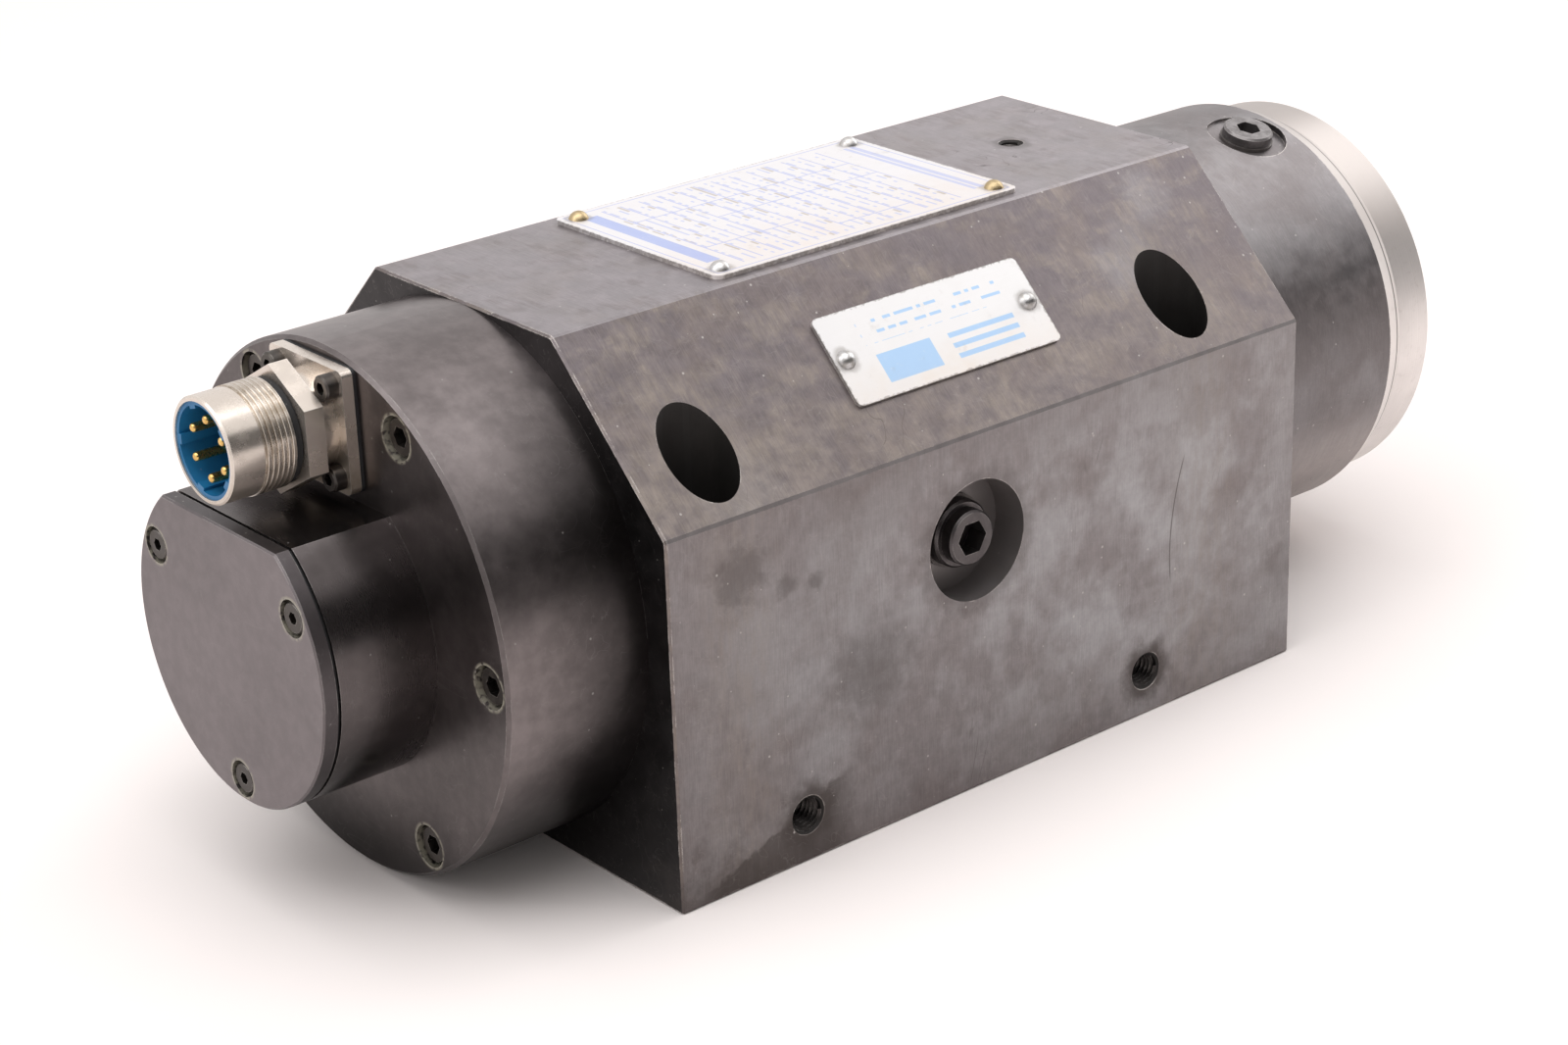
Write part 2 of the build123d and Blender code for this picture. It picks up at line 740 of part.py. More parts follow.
# Spindle shaft with the collet seat
taper = tan(radians(collet_half_angle))
seat_end_x = shaft_end_x - collet_seated_length
seat_end_radius = collet_cone_dia / 2 - collet_seated_length * taper
with BuildPart() as spindle_shaft:
    revolve(
        turned(
            (shaft_end_x, collet_cone_dia / 2),
            (shaft_end_x, collet_thread_dia / 2),
            (dish_floor_x, collet_thread_dia / 2),
            (dish_floor_x, shaft_pilot_dia / 2),
            (labyrinth_rear_x, shaft_pilot_dia / 2),
            (labyrinth_rear_x, shaft_flange_dia / 2),
            (stack_front_x, shaft_flange_dia / 2),
            (stack_front_x, front_bearing_bore / 2),
            (stack_rear_x, front_bearing_bore / 2),
            (stack_rear_x, front_nut_thread_dia / 2),
            (front_nut_rear_x, front_nut_thread_dia / 2),
            (front_nut_rear_x, shaft_body_dia / 2),
            (rotor_front_x, shaft_body_dia / 2),
            (rotor_front_x, rotor_seat_dia / 2),
            (rear_bearing_front_x, rotor_seat_dia / 2),
            (rear_bearing_front_x, rear_bearing_bore / 2),
            (rear_bearing_rear_x, rear_bearing_bore / 2),
            (rear_bearing_rear_x, rear_nut_thread_dia / 2),
            (rear_nut_rear_x, rear_nut_thread_dia / 2),
            (rear_nut_rear_x, wheel_shoulder_dia / 2),
            (wheel_front_x, wheel_shoulder_dia / 2),
            (wheel_front_x, wheel_seat_dia / 2),
            (wheel_rear_x, wheel_seat_dia / 2),
            (wheel_rear_x, 0),
            (seat_end_x - shaft_drill_depth, 0),
            (seat_end_x - shaft_drill_depth, shaft_drill_dia / 2),
            (seat_end_x, shaft_drill_dia / 2),
            (seat_end_x, seat_end_radius),
        ),
        axis=spindle_axis,
    )
    with BuildSketch(
        *ring_places(labyrinth_rear_x, labyrinth_screw_circle, labyrinth_screw_count, facing=-1)
    ):
        Circle(m4[0] / 2)
    extrude(amount=thread_engagement * m4[0], mode=Mode.SUBTRACT)
    with BuildSketch(across(wheel_rear_x)):
        Circle(m5[0] / 2)
    extrude(amount=thread_engagement * m5[0], mode=Mode.SUBTRACT)
spindle_shaft.part.label = "spindle_shaft"
export_step(spindle_shaft.part, "parts/spindle_shaft.step")

# Collet, slit from both ends, and its nut
collet_cone_x = shaft_end_x + collet_rim_length
front_cone = (collet_front_length - collet_rim_length) * tan(radians(collet_front_angle))
collet_front_x = shaft_end_x + collet_front_length
collet_length = collet_seated_length + collet_front_length
slit_length = collet_length - collet_slit_end
slit_reach = collet_cone_dia / 2
with BuildPart() as collet:
    revolve(
        turned(
            (seat_end_x, collet_shank_dia / 2),
            (seat_end_x, seat_end_radius),
            (shaft_end_x, collet_cone_dia / 2),
            (collet_cone_x, collet_cone_dia / 2),
            (collet_front_x, collet_cone_dia / 2 - front_cone),
            (collet_front_x, collet_shank_dia / 2),
        ),
        axis=spindle_axis,
    )
    for start_x, facing, first_angle in (
        (collet_front_x, -1, 0),
        (seat_end_x, 1, 180 / collet_slit_count),
    ):
        with BuildSketch(across(start_x, facing)):
            with PolarLocations(slit_reach / 2 + collet_slit_width, collet_slit_count, first_angle):
                Rectangle(slit_reach, collet_slit_width)
        extrude(amount=slit_length, mode=Mode.SUBTRACT)
collet.part.label = "collet"
export_step(collet.part, "parts/collet.step")

nut_rear_x = dish_floor_x + nut_setback
nut_front_x = nut_rear_x + nut_length
nut_step_x = shaft_end_x + nut_thread_end_gap
nut_cone_x = collet_cone_x + nut_clearance
nut_inner_radius = collet_cone_dia / 2 + nut_clearance
nut_mouth_radius = collet_cone_dia / 2 - front_cone + nut_clearance
with BuildPart() as collet_nut:
    revolve(
        turned(
            (nut_rear_x, collet_thread_dia / 2),
            (nut_rear_x, nut_dia / 2),
            (nut_front_x - nut_edge, nut_dia / 2),
            (nut_front_x, nut_dia / 2 - nut_edge),
            (nut_front_x, nut_mouth_radius),
            (collet_front_x + nut_clearance, nut_mouth_radius),
            (nut_cone_x, nut_inner_radius),
            (nut_step_x, nut_inner_radius),
            (nut_step_x, collet_thread_dia / 2),
        ),
        axis=spindle_axis,
    )
    with BuildSketch(across(nut_rear_x)):
        with PolarLocations(nut_dia / 2, nut_slot_count):
            Rectangle(2 * nut_slot_depth, nut_slot_width)
    extrude(amount=nut_length, mode=Mode.SUBTRACT)
collet_nut.part.label = "collet_nut"
export_step(collet_nut.part, "parts/collet_nut.step")


# Bearings
def race_ring(start, width, inside, outside, pitch_radius, ball_dia):
    """Half section of a bearing ring with its ball groove, from its start along the axis."""
    with BuildSketch(axial_plane) as section:
        with Locations((start + width / 2, (outside + inside) / 4)):
            Rectangle(width, (outside - inside) / 2)
        with Locations((start + width / 2, pitch_radius)):
            Circle(ball_dia / 2 + race_clearance, mode=Mode.SUBTRACT)
    return section.sketch


def ball_places(start, width, pitch_radius, count):
    """Planes at the ball centres of a bearing, each facing out from the axis."""
    places = []
    for index in range(count):
        angle = radians(index * 360 / count)
        out = Vector(0, cos(angle), sin(angle))
        centre = Vector(start + width / 2, 0, axis_height) + out * pitch_radius
        places.append(Plane(origin=centre, x_dir=(1, 0, 0), z_dir=out))
    return places


front_bearing_starts = (stack_rear_x, spacer_front_x)
with BuildPart() as front_outer_rings:
    for start in front_bearing_starts:
        revolve(
            race_ring(
                start,
                front_bearing_width,
                front_outer_land_dia,
                front_bearing_outside,
                front_pitch_radius,
                front_ball_dia,
            ),
            axis=spindle_axis,
        )
front_outer_rings.part.label = "front_outer_rings"
export_step(front_outer_rings.part, "parts/front_outer_rings.step")

with BuildPart() as front_inner_rings:
    for start in front_bearing_starts:
        revolve(
            race_ring(
                start,
                front_bearing_width,
                front_bearing_bore,
                front_inner_land_dia,
                front_pitch_radius,
                front_ball_dia,
            ),
            axis=spindle_axis,
        )
front_inner_rings.part.label = "front_inner_rings"
export_step(front_inner_rings.part, "parts/front_inner_rings.step")

with BuildPart() as front_balls:
    for start in front_bearing_starts:
        with Locations(
            *ball_places(start, front_bearing_width, front_pitch_radius, front_ball_count)
        ):
            Sphere(front_ball_dia / 2)
front_balls.part.label = "front_balls"
export_step(front_balls.part, "parts/front_balls.step")

with BuildPart() as front_cages:
    for start in front_bearing_starts:
        revolve(
            tube(
                start + cage_rim,
                start + front_bearing_width - cage_rim,
                front_outer_land_dia - 2 * cage_clearance,
                front_inner_land_dia + 2 * cage_clearance,
            ),
            axis=spindle_axis,
        )
        with Locations(
            *ball_places(start, front_bearing_width, front_pitch_radius, front_ball_count)
        ):
            Cylinder(front_ball_dia / 2 + pocket_clearance, front_ball_dia, mode=Mode.SUBTRACT)
front_cages.part.label = "front_cages"
export_step(front_cages.part, "parts/front_cages.step")

with BuildPart() as front_outer_spacer:
    revolve(
        tube(spacer_rear_x, spacer_front_x, front_bearing_outside, front_outer_land_dia),
        axis=spindle_axis,
    )
front_outer_spacer.part.label = "front_outer_spacer"
export_step(front_outer_spacer.part, "parts/front_outer_spacer.step")

with BuildPart() as front_inner_spacer:
    revolve(
        tube(spacer_rear_x, spacer_front_x, front_inner_land_dia, front_bearing_bore),
        axis=spindle_axis,
    )
front_inner_spacer.part.label = "front_inner_spacer"
export_step(front_inner_spacer.part, "parts/front_inner_spacer.step")

with BuildPart() as rear_outer_ring:
    revolve(
        race_ring(
            rear_bearing_rear_x,
            rear_bearing_width,
            rear_outer_land_dia,
            rear_bearing_outside,
            rear_pitch_radius,
            rear_ball_dia,
        ),
        axis=spindle_axis,
    )
rear_outer_ring.part.label = "rear_outer_ring"
export_step(rear_outer_ring.part, "parts/rear_outer_ring.step")

with BuildPart() as rear_inner_ring:
    revolve(
        race_ring(
            rear_bearing_rear_x,
            rear_bearing_width,
            rear_bearing_bore,
            rear_inner_land_dia,
            rear_pitch_radius,
            rear_ball_dia,
        ),
        axis=spindle_axis,
    )
rear_inner_ring.part.label = "rear_inner_ring"
export_step(rear_inner_ring.part, "parts/rear_inner_ring.step")

with BuildPart() as rear_balls:
    with Locations(
        *ball_places(rear_bearing_rear_x, rear_bearing_width, rear_pitch_radius, rear_ball_count)
    ):
        Sphere(rear_ball_dia / 2)
rear_balls.part.label = "rear_balls"
export_step(rear_balls.part, "parts/rear_balls.step")

with BuildPart() as rear_cage:
    revolve(
        tube(
            rear_bearing_rear_x + cage_rim,
            rear_bearing_front_x - cage_rim,
            rear_outer_land_dia - 2 * cage_clearance,
            rear_inner_land_dia + 2 * cage_clearance,
        ),
        axis=spindle_axis,
    )
    with Locations(
        *ball_places(rear_bearing_rear_x, rear_bearing_width, rear_pitch_radius, rear_ball_count)
    ):
        Cylinder(rear_ball_dia / 2 + pocket_clearance, rear_ball_dia, mode=Mode.SUBTRACT)
rear_cage.part.label = "rear_cage"
export_step(rear_cage.part, "parts/rear_cage.step")

# Lock nuts on the shaft
with BuildPart() as front_lock_nut:
    revolve(
        tube(front_nut_rear_x, stack_rear_x, front_nut_dia, front_nut_thread_dia),
        axis=spindle_axis,
    )
    with BuildSketch(across(front_nut_rear_x)):
        with PolarLocations(front_nut_dia / 2, lock_slot_count):
            Rectangle(2 * lock_slot_depth, lock_slot_width)
    extrude(amount=front_nut_width, mode=Mode.SUBTRACT)
front_lock_nut.part.label = "front_lock_nut"
export_step(front_lock_nut.part, "parts/front_lock_nut.step")

with BuildPart() as rear_lock_nut:
    revolve(
        tube(rear_nut_rear_x, rear_bearing_rear_x, rear_nut_dia, rear_nut_thread_dia),
        axis=spindle_axis,
    )
    with BuildSketch(across(rear_nut_rear_x)):
        with PolarLocations(rear_nut_dia / 2, lock_slot_count):
            Rectangle(2 * lock_slot_depth, lock_slot_width)
    extrude(amount=rear_nut_width, mode=Mode.SUBTRACT)
rear_lock_nut.part.label = "rear_lock_nut"
export_step(rear_lock_nut.part, "parts/rear_lock_nut.step")

# Motor: rotor on the shaft, stator in its cooling jacket
rotor_dia = stator_inner_dia - 2 * air_gap
with BuildPart() as rotor_core:
    revolve(tube(-motor_length / 2, motor_length / 2, rotor_dia, rotor_seat_dia), axis=spindle_axis)
rotor_core.part.label = "rotor_core"
export_step(rotor_core.part, "parts/rotor_core.step")

with BuildPart() as rotor_end_rings:
    for start in (-rotor_front_x, motor_length / 2):
        revolve(
            tube(
                start,
                start + rotor_end_ring_width,
                rotor_dia - 2 * rotor_end_ring_step,
                rotor_seat_dia,
            ),
            axis=spindle_axis,
        )
rotor_end_rings.part.label = "rotor_end_rings"
export_step(rotor_end_rings.part, "parts/rotor_end_rings.step")

with BuildPart() as rotor_sleeve:
    revolve(
        tube(
            rear_bearing_front_x,
            -rotor_front_x,
            rotor_seat_dia + 2 * sleeve_wall,
            rotor_seat_dia,
        ),
        axis=spindle_axis,
    )
rotor_sleeve.part.label = "rotor_sleeve"
export_step(rotor_sleeve.part, "parts/rotor_sleeve.step")

with BuildPart() as stator_core:
    with BuildSketch(across(-motor_length / 2)):
        Circle(stator_dia / 2)
        Circle(stator_inner_dia / 2, mode=Mode.SUBTRACT)
        with PolarLocations(slot_centre_radius, stator_slots):
            Rectangle(slot_depth, slot_width, mode=Mode.SUBTRACT)
    extrude(amount=motor_length)
stator_core.part.label = "stator_core"
export_step(stator_core.part, "parts/stator_core.step")

with BuildPart() as stator_winding:
    with BuildSketch(across(-motor_length / 2)):
        with PolarLocations(slot_centre_radius, stator_slots):
            Rectangle(slot_depth - 2 * winding_clearance, slot_width - 2 * winding_clearance)
    extrude(amount=motor_length)
    for inner_x, outward in ((-motor_length / 2, -1), (motor_length / 2, 1)):
        outer_x = inner_x + outward * end_turn_length
        revolve(
            turned(
                (inner_x, end_turn_inner_dia / 2),
                (inner_x, end_turn_outer_dia / 2),
                (outer_x - outward * end_turn_edge, end_turn_outer_dia / 2),
                (outer_x, end_turn_outer_dia / 2 - end_turn_edge / 2),
                (outer_x, end_turn_inner_dia / 2 + end_turn_edge / 2),
                (outer_x - outward * end_turn_edge, end_turn_inner_dia / 2),
            ),
            axis=spindle_axis,
        )
stator_winding.part.label = "stator_winding"
export_step(stator_winding.part, "parts/stator_winding.step")

jacket_front_x = stator_bore_end_x
jacket_rear_x = jacket_front_x - jacket_length
seal_starts = (
    jacket_rear_x + seal_inset,
    jacket_front_x - seal_inset - seal_groove_width,
)
with BuildPart() as cooling_jacket:
    revolve(tube(jacket_rear_x, jacket_front_x, stator_bore_dia, stator_dia), axis=spindle_axis)
    for index in range(jacket_groove_count):
        start = (
            port_x
            + (index - (jacket_groove_count - 1) / 2) * jacket_groove_pitch
            - jacket_groove_width / 2
        )
        revolve(
            tube(
                start,
                start + jacket_groove_width,
                stator_bore_dia + 2 * edge_break,
                stator_bore_dia - 2 * jacket_groove_depth,
            ),
            axis=spindle_axis,
            mode=Mode.SUBTRACT,
        )
    for start in seal_starts:
        revolve(
            tube(
                start,
                start + seal_groove_width,
                stator_bore_dia + 2 * edge_break,
                stator_bore_dia - 2 * seal_groove_depth,
            ),
            axis=spindle_axis,
            mode=Mode.SUBTRACT,
        )
cooling_jacket.part.label = "cooling_jacket"
export_step(cooling_jacket.part, "parts/cooling_jacket.step")

with BuildPart() as jacket_seals:
    for start in seal_starts:
        middle = start + seal_groove_width / 2
        revolve(
            tube(
                middle - seal_width / 2,
                middle + seal_width / 2,
                stator_bore_dia,
                stator_bore_dia - 2 * seal_groove_depth,
            ),
            axis=spindle_axis,
        )
jacket_seals.part.label = "jacket_seals"
export_step(jacket_seals.part, "parts/jacket_seals.step")

# Rear housing with the bearing bush seat and the wiring passage
wiring_end_x = rear_x - wiring_end_wall
rear_seat_x = rear_face_x + m5[2] + head_recess
connector_centre = (0, connector_height)
with BuildPart() as rear_housing:
    revolve(
        turned(
            (rear_face_x, rear_wall_bore_dia / 2),
            (rear_wall_x, rear_wall_bore_dia / 2),
            (rear_wall_x, bush_dia / 2),
            (bush_front_x, bush_dia / 2),
            (bush_front_x, rear_cavity_dia / 2),
            (rear_x + rear_spigot_length, rear_cavity_dia / 2),
            (rear_x + rear_spigot_length, stator_bore_dia / 2),
            (rear_x, stator_bore_dia / 2),
            (rear_x, rear_housing_dia / 2),
            (rear_face_x + rear_housing_edge, rear_housing_dia / 2),
            (rear_face_x, rear_housing_dia / 2 - rear_housing_edge),
        ),
        axis=spindle_axis,
    )
    with BuildSketch(*ring_places(rear_face_x, rear_screw_circle, rear_screw_count)):
        Circle(m5[0] / 2)
    extrude(amount=rear_housing_length, mode=Mode.SUBTRACT)
    with BuildSketch(*ring_places(rear_face_x, rear_screw_circle, rear_screw_count)):
        Circle(m5[4] / 2)
    extrude(amount=rear_seat_x - rear_face_x, mode=Mode.SUBTRACT)
    with BuildSketch(*ring_places(rear_face_x, drum_screw_circle, drum_screw_count, 45)):
        Circle(m3[0] / 2)
    extrude(amount=rear_wall, mode=Mode.SUBTRACT)
    with BuildSketch(across(rear_face_x)):
        with Locations(connector_centre):
            Circle(wiring_bore_dia / 2)
    extrude(amount=wiring_end_x - rear_face_x, mode=Mode.SUBTRACT)
    with BuildSketch(across(rear_face_x)):
        with Locations(connector_centre):
            with GridLocations(flange_screw_spacing, flange_screw_spacing, 2, 2):
                Circle(m3[0] / 2)
    extrude(amount=thread_engagement * m3[0], mode=Mode.SUBTRACT)
rear_housing.part.label = "rear_housing"
export_step(rear_housing.part, "parts/rear_housing.step")

with BuildPart() as rear_housing_screws:
    with Locations(*ring_places(rear_seat_x, rear_screw_circle, rear_screw_count, facing=-1)):
        add(screw(m5, rear_x - rear_seat_x + thread_engagement * m5[0]))
rear_housing_screws.part.label = "rear_housing_screws"
export_step(rear_housing_screws.part, "parts/rear_housing_screws.step")

# Rear bearing bush with its clip and preload spring
with BuildPart() as bearing_bush:
    revolve(
        turned(
            (bush_rear_x, bush_shoulder_bore_dia / 2),
            (rear_bearing_rear_x, bush_shoulder_bore_dia / 2),
            (rear_bearing_rear_x, rear_bearing_outside / 2),
            (bush_front_x, rear_bearing_outside / 2),
            (bush_front_x, bush_dia / 2),
            (bush_rear_x, bush_dia / 2),
        ),
        axis=spindle_axis,
    )
bearing_bush.part.label = "bearing_bush"
export_step(bearing_bush.part, "parts/bearing_bush.step")

with BuildPart() as bush_clip:
    revolve(
        tube(
            rear_bearing_front_x,
            rear_bearing_front_x + bush_clip_width,
            rear_bearing_outside,
            bush_shoulder_bore_dia,
        ),
        axis=spindle_axis,
    )
bush_clip.part.label = "bush_clip"
export_step(bush_clip.part, "parts/bush_clip.step")

with BuildPart() as preload_spring:
    revolve(
        turned(
            (rear_wall_x, spring_outer_dia / 2),
            (rear_wall_x + spring_thickness, spring_outer_dia / 2),
            (bush_rear_x, spring_inner_dia / 2),
            (bush_rear_x - spring_thickness, spring_inner_dia / 2),
        ),
        axis=spindle_axis,
    )
preload_spring.part.label = "preload_spring"
export_step(preload_spring.part, "parts/preload_spring.step")

# Encoder housing: a drum with a flat on top, its gasket and lid
head_face = encoder_wheel_dia / 2 + read_head_gap
head_back = head_face + read_head_height
head_middle_x = (wheel_front_x + wheel_rear_x) / 2
drum_seat_x = rear_face_x - drum_foot


def drum_outline(plane, setback=0):
    """Round outline with a flat on top, drawn in by the setback, on a plane square to the axis."""
    radius = drum_dia / 2 - setback
    top = drum_flat_height - setback
    with BuildSketch(plane) as outline:
        Circle(radius)
        with Locations((0, (top - radius) / 2)):
            Rectangle(2 * radius, top + radius, mode=Mode.INTERSECT)
    return outline.sketch


with BuildPart() as encoder_housing:
    extrude(drum_outline(across(drum_end_x)), amount=drum_length)
    with BuildSketch(across(drum_end_x)):
        Circle(drum_bore_dia / 2)
        with Locations((0, (drum_flat_height - drum_flat_wall - drum_bore_dia / 2) / 2)):
            Rectangle(
                drum_bore_dia,
                drum_flat_height - drum_flat_wall + drum_bore_dia / 2,
                mode=Mode.INTERSECT,
            )
        with Locations(((head_back + drum_bore_dia / 2) / 2, 0)):
            Rectangle(drum_bore_dia / 2 - head_back, read_head_width, mode=Mode.SUBTRACT)
        with PolarLocations(lid_screw_circle / 2, lid_screw_count, 30):
            Circle(lid_boss_dia / 2, mode=Mode.SUBTRACT)
    extrude(amount=drum_length - drum_foot, mode=Mode.SUBTRACT)
    with BuildSketch(across(drum_seat_x)):
        Circle(rear_wall_bore_dia / 2)
    extrude(amount=drum_foot, mode=Mode.SUBTRACT)
    with BuildSketch(*ring_places(drum_seat_x, drum_screw_circle, drum_screw_count, 45)):
        Circle(m3[0] / 2)
    extrude(amount=drum_foot, mode=Mode.SUBTRACT)
    with BuildSketch(*ring_places(drum_end_x, lid_screw_circle, lid_screw_count, 30)):
        Circle(m4[0] / 2)
    extrude(amount=thread_engagement * m4[0], mode=Mode.SUBTRACT)
encoder_housing.part.label = "encoder_housing"
export_step(encoder_housing.part, "parts/encoder_housing.step")

with BuildPart() as encoder_housing_screws:
    with Locations(
        *ring_places(drum_seat_x, drum_screw_circle, drum_screw_count, 45, facing=-1)
    ):
        add(screw(m3, drum_foot + drum_screw_reach))
encoder_housing_screws.part.label = "encoder_housing_screws"
export_step(encoder_housing_screws.part, "parts/encoder_housing_screws.step")

with BuildPart() as lid_gasket:
    extrude(drum_outline(across(gasket_end_x), gasket_setback), amount=gasket_thickness)
    with BuildSketch(across(gasket_end_x)):
        Circle(drum_bore_dia / 2)
        with Locations((0, (drum_flat_height - drum_flat_wall - drum_bore_dia / 2) / 2)):
            Rectangle(
                drum_bore_dia,
                drum_flat_height - drum_flat_wall + drum_bore_dia / 2,
                mode=Mode.INTERSECT,
            )
        with PolarLocations(lid_screw_circle / 2, lid_screw_count, 30):
            Circle(lid_boss_dia / 2, mode=Mode.SUBTRACT)
    extrude(amount=gasket_thickness, mode=Mode.SUBTRACT)
    with BuildSketch(*ring_places(gasket_end_x, lid_screw_circle, lid_screw_count, 30)):
        Circle(m4[0] / 2)
    extrude(amount=gasket_thickness, mode=Mode.SUBTRACT)
lid_gasket.part.label = "lid_gasket"
export_step(lid_gasket.part, "parts/lid_gasket.step")

lid_seat_x = lid_end_x + m4_low[2] + lid_head_recess
with BuildPart() as encoder_lid:
    extrude(drum_outline(across(lid_end_x)), amount=lid_thickness)
    chamfer(encoder_lid.faces().sort_by(Axis.X)[0].edges(), lid_edge)
    with BuildSketch(*ring_places(lid_end_x, lid_screw_circle, lid_screw_count, 30)):
        Circle(m4[0] / 2)
    extrude(amount=lid_thickness, mode=Mode.SUBTRACT)
    with BuildSketch(*ring_places(lid_end_x, lid_screw_circle, lid_screw_count, 30)):
        Circle(m4_low[4] / 2)
    extrude(amount=lid_seat_x - lid_end_x, mode=Mode.SUBTRACT)
encoder_lid.part.label = "encoder_lid"
export_step(encoder_lid.part, "parts/encoder_lid.step")

with BuildPart() as encoder_lid_screws:
    with Locations(*ring_places(lid_seat_x, lid_screw_circle, lid_screw_count, 30, facing=-1)):
        add(screw(m4_low, drum_end_x - lid_seat_x + thread_engagement * m4[0]))
encoder_lid_screws.part.label = "encoder_lid_screws"
export_step(encoder_lid_screws.part, "parts/encoder_lid_screws.step")

# Encoder wheel on the shaft end, its screw and washer, and the read head
with BuildPart() as encoder_wheel:
    with BuildSketch(across(wheel_rear_x)):
        Circle(encoder_wheel_dia / 2)
        Circle(wheel_seat_dia / 2, mode=Mode.SUBTRACT)
        with PolarLocations(encoder_wheel_dia / 2, encoder_teeth):
            Rectangle(2 * encoder_tooth_depth, encoder_tooth_gap, mode=Mode.SUBTRACT)
    extrude(amount=encoder_wheel_width)
encoder_wheel.part.label = "encoder_wheel"
export_step(encoder_wheel.part, "parts/encoder_wheel.step")

washer_x = wheel_rear_x - wheel_washer_thickness
with BuildPart() as wheel_washer:
    revolve(
        tube(washer_x, wheel_rear_x, wheel_washer_dia, m5[0]),
        axis=spindle_axis,
    )
wheel_washer.part.label = "wheel_washer"
export_step(wheel_washer.part, "parts/wheel_washer.step")

with BuildPart() as wheel_screw:
    with Locations(across(washer_x, facing=-1)):
        add(screw(m5, wheel_washer_thickness + thread_engagement * m5[0]))
wheel_screw.part.label = "wheel_screw"
export_step(wheel_screw.part, "parts/wheel_screw.step")

with BuildPart() as encoder_read_head:
    with BuildSketch(across(head_middle_x - read_head_length / 2)):
        with Locations(((head_face + head_back) / 2, 0)):
            Rectangle(read_head_height, read_head_width)
    extrude(amount=read_head_length)
    fillet(encoder_read_head.edges().group_by(Axis.Y)[0], plug_edge)
encoder_read_head.part.label = "encoder_read_head"
export_step(encoder_read_head.part, "parts/encoder_read_head.step")

# Power connector on the rear face
flange_rear_x = rear_face_x - connector_gasket_thickness
flange_front_x = flange_rear_x - flange_thickness
hex_x = flange_front_x - flange_neck_length
seal_seat_x = hex_x - shell_hex_length
thread_x = seal_seat_x - shell_seal_width
nose_x = thread_x - shell_thread_length
mouth_x = nose_x - shell_nose_length
mouth_floor_x = mouth_x + shell_mouth_depth
insert_end_x = mouth_floor_x + insert_tail_length
connector_axis = Axis((0, 0, axis_height + connector_height), (1, 0, 0))
connector_plane = Plane(
    origin=(0, 0, axis_height + connector_height), x_dir=(1, 0, 0), z_dir=(0, -1, 0)
)


def connector_turned(*outline):
    """Half section of a piece turned about the connector's axis, as place and radius."""
    with BuildSketch(connector_plane) as section:
        with BuildLine():
            Polyline(*outline, close=True)
        make_face()
    return section.sketch


def flange_square(plane, bore):
    """Square flange outline with its bore and screw holes, on a plane square to the axis."""
    with BuildSketch(plane) as outline:
        with Locations(connector_centre):
            RectangleRounded(flange_size, flange_size, flange_corner)
            Circle(bore / 2, mode=Mode.SUBTRACT)
            with GridLocations(flange_screw_spacing, flange_screw_spacing, 2, 2):
                Circle(m3[0] / 2, mode=Mode.SUBTRACT)
    return outline.sketch


with BuildPart() as connector_gasket:
    extrude(flange_square(across(flange_rear_x), shell_tail_dia), amount=connector_gasket_thickness)
connector_gasket.part.label = "connector_gasket"
export_step(connector_gasket.part, "parts/connector_gasket.step")

with BuildPart() as connector_flange:
    extrude(flange_square(across(flange_front_x), shell_tail_dia), amount=flange_thickness)
    revolve(
        connector_turned(
            (hex_x, shell_tail_dia / 2),
            (flange_front_x, shell_tail_dia / 2),
            (flange_front_x, flange_neck_dia / 2),
            (hex_x, flange_neck_dia / 2),
        ),
        axis=connector_axis,
    )
connector_flange.part.label = "connector_flange"
export_step(connector_flange.part, "parts/connector_flange.step")

with BuildPart() as connector_screws:
    with Locations(across(flange_front_x, facing=-1)):
        with Locations((0, -connector_height)):
            with GridLocations(flange_screw_spacing, flange_screw_spacing, 2, 2):
                add(screw(m3, rear_face_x - flange_front_x + thread_engagement * m3[0]))
connector_screws.part.label = "connector_screws"
export_step(connector_screws.part, "parts/connector_screws.step")

thread_pitch = shell_thread_length / shell_thread_count
thread_outline = []
for index in range(shell_thread_count):
    crest_x = thread_x - index * thread_pitch
    thread_outline.append((crest_x, shell_thread_dia / 2))
    thread_outline.append((crest_x - thread_pitch / 2, shell_thread_dia / 2))
    thread_outline.append(
        (crest_x - 3 * thread_pitch / 4, shell_thread_dia / 2 - shell_thread_depth)
    )
with BuildPart() as connector_shell:
    revolve(
        connector_turned(
            (hex_x + shell_tail_length, shell_bore_dia / 2),
            (hex_x + shell_tail_length, shell_tail_dia / 2),
            (hex_x, shell_tail_dia / 2),
            (hex_x, shell_seal_seat_dia / 2),
            (thread_x, shell_seal_seat_dia / 2),
            *thread_outline,
            (nose_x, shell_thread_dia / 2),
            (nose_x, shell_nose_dia / 2),
            (mouth_x + screw_edge, shell_nose_dia / 2),
            (mouth_x, shell_nose_dia / 2 - screw_edge),
            (mouth_x, shell_mouth_dia / 2),
            (mouth_floor_x, shell_mouth_dia / 2),
            (mouth_floor_x, shell_bore_dia / 2),
        ),
        axis=connector_axis,
    )
    with BuildSketch(across(seal_seat_x)):
        with Locations(connector_centre):
            RegularPolygon(shell_hex_size / 2, 6, major_radius=False, rotation=30)
            Circle(shell_seal_seat_dia / 2, mode=Mode.SUBTRACT)
    extrude(amount=shell_hex_length)
connector_shell.part.label = "connector_shell"
export_step(connector_shell.part, "parts/connector_shell.step")

